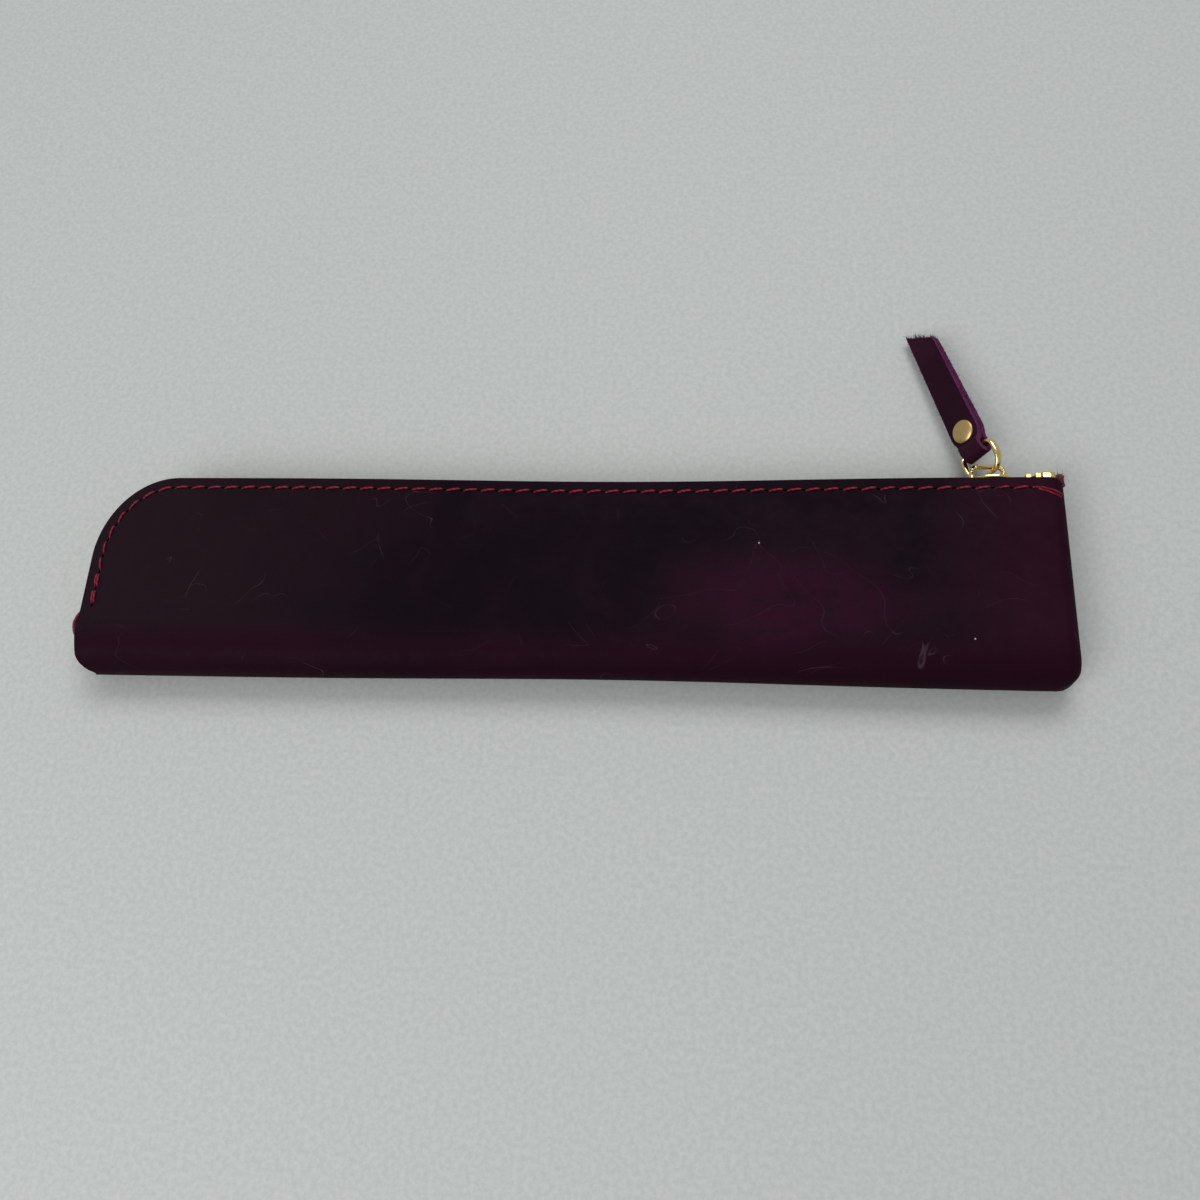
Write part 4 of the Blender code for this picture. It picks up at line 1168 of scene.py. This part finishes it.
bm = bmesh.new()
for _ in range(strap["fibres"]):      # along both cut edges, and longer ones at the cut end
    side = random.choice((-1, 1))
    y = random.uniform(1.5, strap["length"])
    z = random.choice((-1, 1)) * (strap["gap"] / 2 + random.uniform(0.05, strap["leather"] - 0.08))
    if random.random() < 0.3:
        across = random.uniform(-1, 1)
        start, longest = onStrap(across, strap["length"], z, -0.05), 1.2
        out = onStrap(across, strap["length"], z, 1.0) - start
    else:
        start, longest = onStrap(side, y, z), 0.5
        out = onStrap(side * 1.3, y, z) - start
    away = (out.normalized() + anyWay() * 0.7).normalized()
    strand(bm, start, away, random.uniform(0.2, 1.0) * longest / 1000, anyWay() * 0.5, 0.00005)
for vert in bm.verts:
    vert.co.z = max(vert.co.z, tableTop)
newPiece("strap_fibres", bm, "strap", [fuzz])


def turnedPiece(name, profile):      # a turned piece on the rivet's axis; profile as radius and height
    bm = bmesh.new()
    verts = [bm.verts.new((radius, 0, z)) for radius, z in profile]
    edges = [bm.edges.new(pair) for pair in zip(verts, verts[1:])]
    fullTurn(bm, verts + edges, 48)
    bmesh.ops.remove_doubles(bm, verts=bm.verts, dist=0.0005)
    for vert in bm.verts:
        vert.co = strapFrame @ (Vector((vert.co.x, vert.co.y + strap["rivet"], vert.co.z)) / 1000)
    return newPiece(name, bm, "strap", [brassSatin])


rivet = {
    "height": 0.9,
    "skirt": 0.22,
    "post": 0.9,
    "postEnd": 0.3,
    "base": 2.4,
    "baseHeight": 0.6,
    "seat": 0.02,         # daylight between metal and leather
}
low = leafTop + rivet["seat"]
dome = [(0.0, low + rivet["height"])]
for share in shares(13)[1:-1]:
    turn = math.pi / 2 * share
    bulge = (rivet["height"] - rivet["skirt"]) * math.cos(turn) ** 0.8
    dome.append((strap["cap"] * math.sin(turn) ** 0.9, low + rivet["skirt"] + bulge))
dome += [(strap["cap"], low + rivet["skirt"]), (strap["cap"] - 0.05, low + 0.06), (strap["cap"] - 0.2, low)]
dome += [(rivet["post"], low), (rivet["post"], rivet["postEnd"] - leafTop), (0.0, rivet["postEnd"] - leafTop)]
cap = turnedPiece("rivet_dome", dome)
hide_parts("rivet_cap")
low = -leafTop - rivet["seat"]
foot = low - rivet["baseHeight"]
disc = [(0.0, low), (rivet["base"] - 0.15, low), (rivet["base"], low - 0.15)]
disc += [(rivet["base"] - 0.1, low - 0.4), (rivet["base"] - 0.4, foot + 0.05)]
disc += [(0.9, foot), (0.7, foot + 0.12), (0.0, foot + 0.16)]      # the hollow of the tube end
base = turnedPiece("rivet_foot", disc)
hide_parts("rivet_base")
print("strap and rivet made")


# Floor, lights and camera

stage = {
    "floorSize": 1.6,                # metres
    "floorDip": 0.02,
    "floorGrain": 1.11111,
    "floorTones": ("#adb0ad", "#b6b8b6"),
    "roomTone": "#dfe3e4",
    "roomStrength": 0.55,
    "cameraTarget": (112.5, 20.57),
    "cameraDistance": 252.41,
    "yaw": -16.52,
    "elevation": 68.0,
    "roll": -14.8,
    "lens": 34.65,
}
bm = bmesh.new()
bmesh.ops.create_grid(bm, x_segments=8, y_segments=8, size=stage["floorSize"], calc_uvs=False)
for vert in bm.verts:
    vert.co.z = -stage["floorDip"] / 1000
# painted table top: matt, with a faint grain
paint = {"Roughness": 0.55, "Specular IOR Level": 0.25}
floorMaterial, tree, shader = newMaterial("pale grey table top", paint)
place = add(tree, "TexCoord", {}, "Object")
grain = add(tree, "TexNoise", {"Vector": place, "Scale": perMetre(stage["floorGrain"]), "Detail": 3.0,
                               "Roughness": 0.6})
grain = add(tree, "MapRange", {"Value": grain, "From Min": 0.3, "From Max": 0.7}, **eased)
darker, lighter = stage["floorTones"]
colour = add(tree, "Mix", {"Factor": grain, 6: tone(darker), 7: tone(lighter)}, **asColour)
tree.links.new(colour, shader.inputs["Base Color"])
floor = newPiece("table_top", bm, None, [floorMaterial])

world = bpy.data.worlds.new("soft room")
bpy.context.scene.world = world
world.use_nodes = True
background = world.node_tree.nodes["Background"]
background.inputs["Strength"].default_value = stage["roomStrength"]
background.inputs["Color"].default_value = tone(stage["roomTone"])


def areaLight(name, place, target, size, power):
    lamp = bpy.data.lights.new(name, "AREA")
    lamp.shape = "RECTANGLE"
    lamp.size, lamp.size_y = size
    lamp.energy = power
    holder = bpy.data.objects.new(name, lamp)
    bpy.context.scene.collection.objects.link(holder)
    holder.location = place
    holder.rotation_euler = (Vector(target) - Vector(place)).to_track_quat("-Z", "Y").to_euler()


areaLight("window", (0.10, 0.62, 0.95), (0, 0, 0), (0.7, 0.5), 5.6)
areaLight("fill", (-0.42, -0.50, 0.62), (-0.12, -0.16, 0), (0.6, 0.5), 4.5)

yaw, elevation, roll = (math.radians(stage[key]) for key in ("yaw", "elevation", "roll"))
ahead = Vector((math.sin(yaw), math.cos(yaw), 0))
forward = ahead * math.cos(elevation) - Vector((0, 0, math.sin(elevation)))
right = Vector((math.cos(yaw), -math.sin(yaw), 0))
up = right.cross(forward)
across = right * math.cos(roll) + up * math.sin(roll)
upright = up * math.cos(roll) - right * math.sin(roll)
place = mm(*stage["cameraTarget"], 0) - forward * stage["cameraDistance"] / 1000
cameraData = bpy.data.cameras.new("camera")
cameraData.sensor_width = 36
cameraData.lens = stage["lens"]
cameraData.clip_start = 0.01
camera = bpy.data.objects.new("camera", cameraData)
bpy.context.scene.collection.objects.link(camera)
camera.matrix_world = Matrix.Translation(place) @ Matrix((across, upright, -forward)).transposed().to_4x4()
bpy.context.scene.camera = camera
bpy.context.scene.view_settings.view_transform = "Standard"
print("stage, lights and camera set")
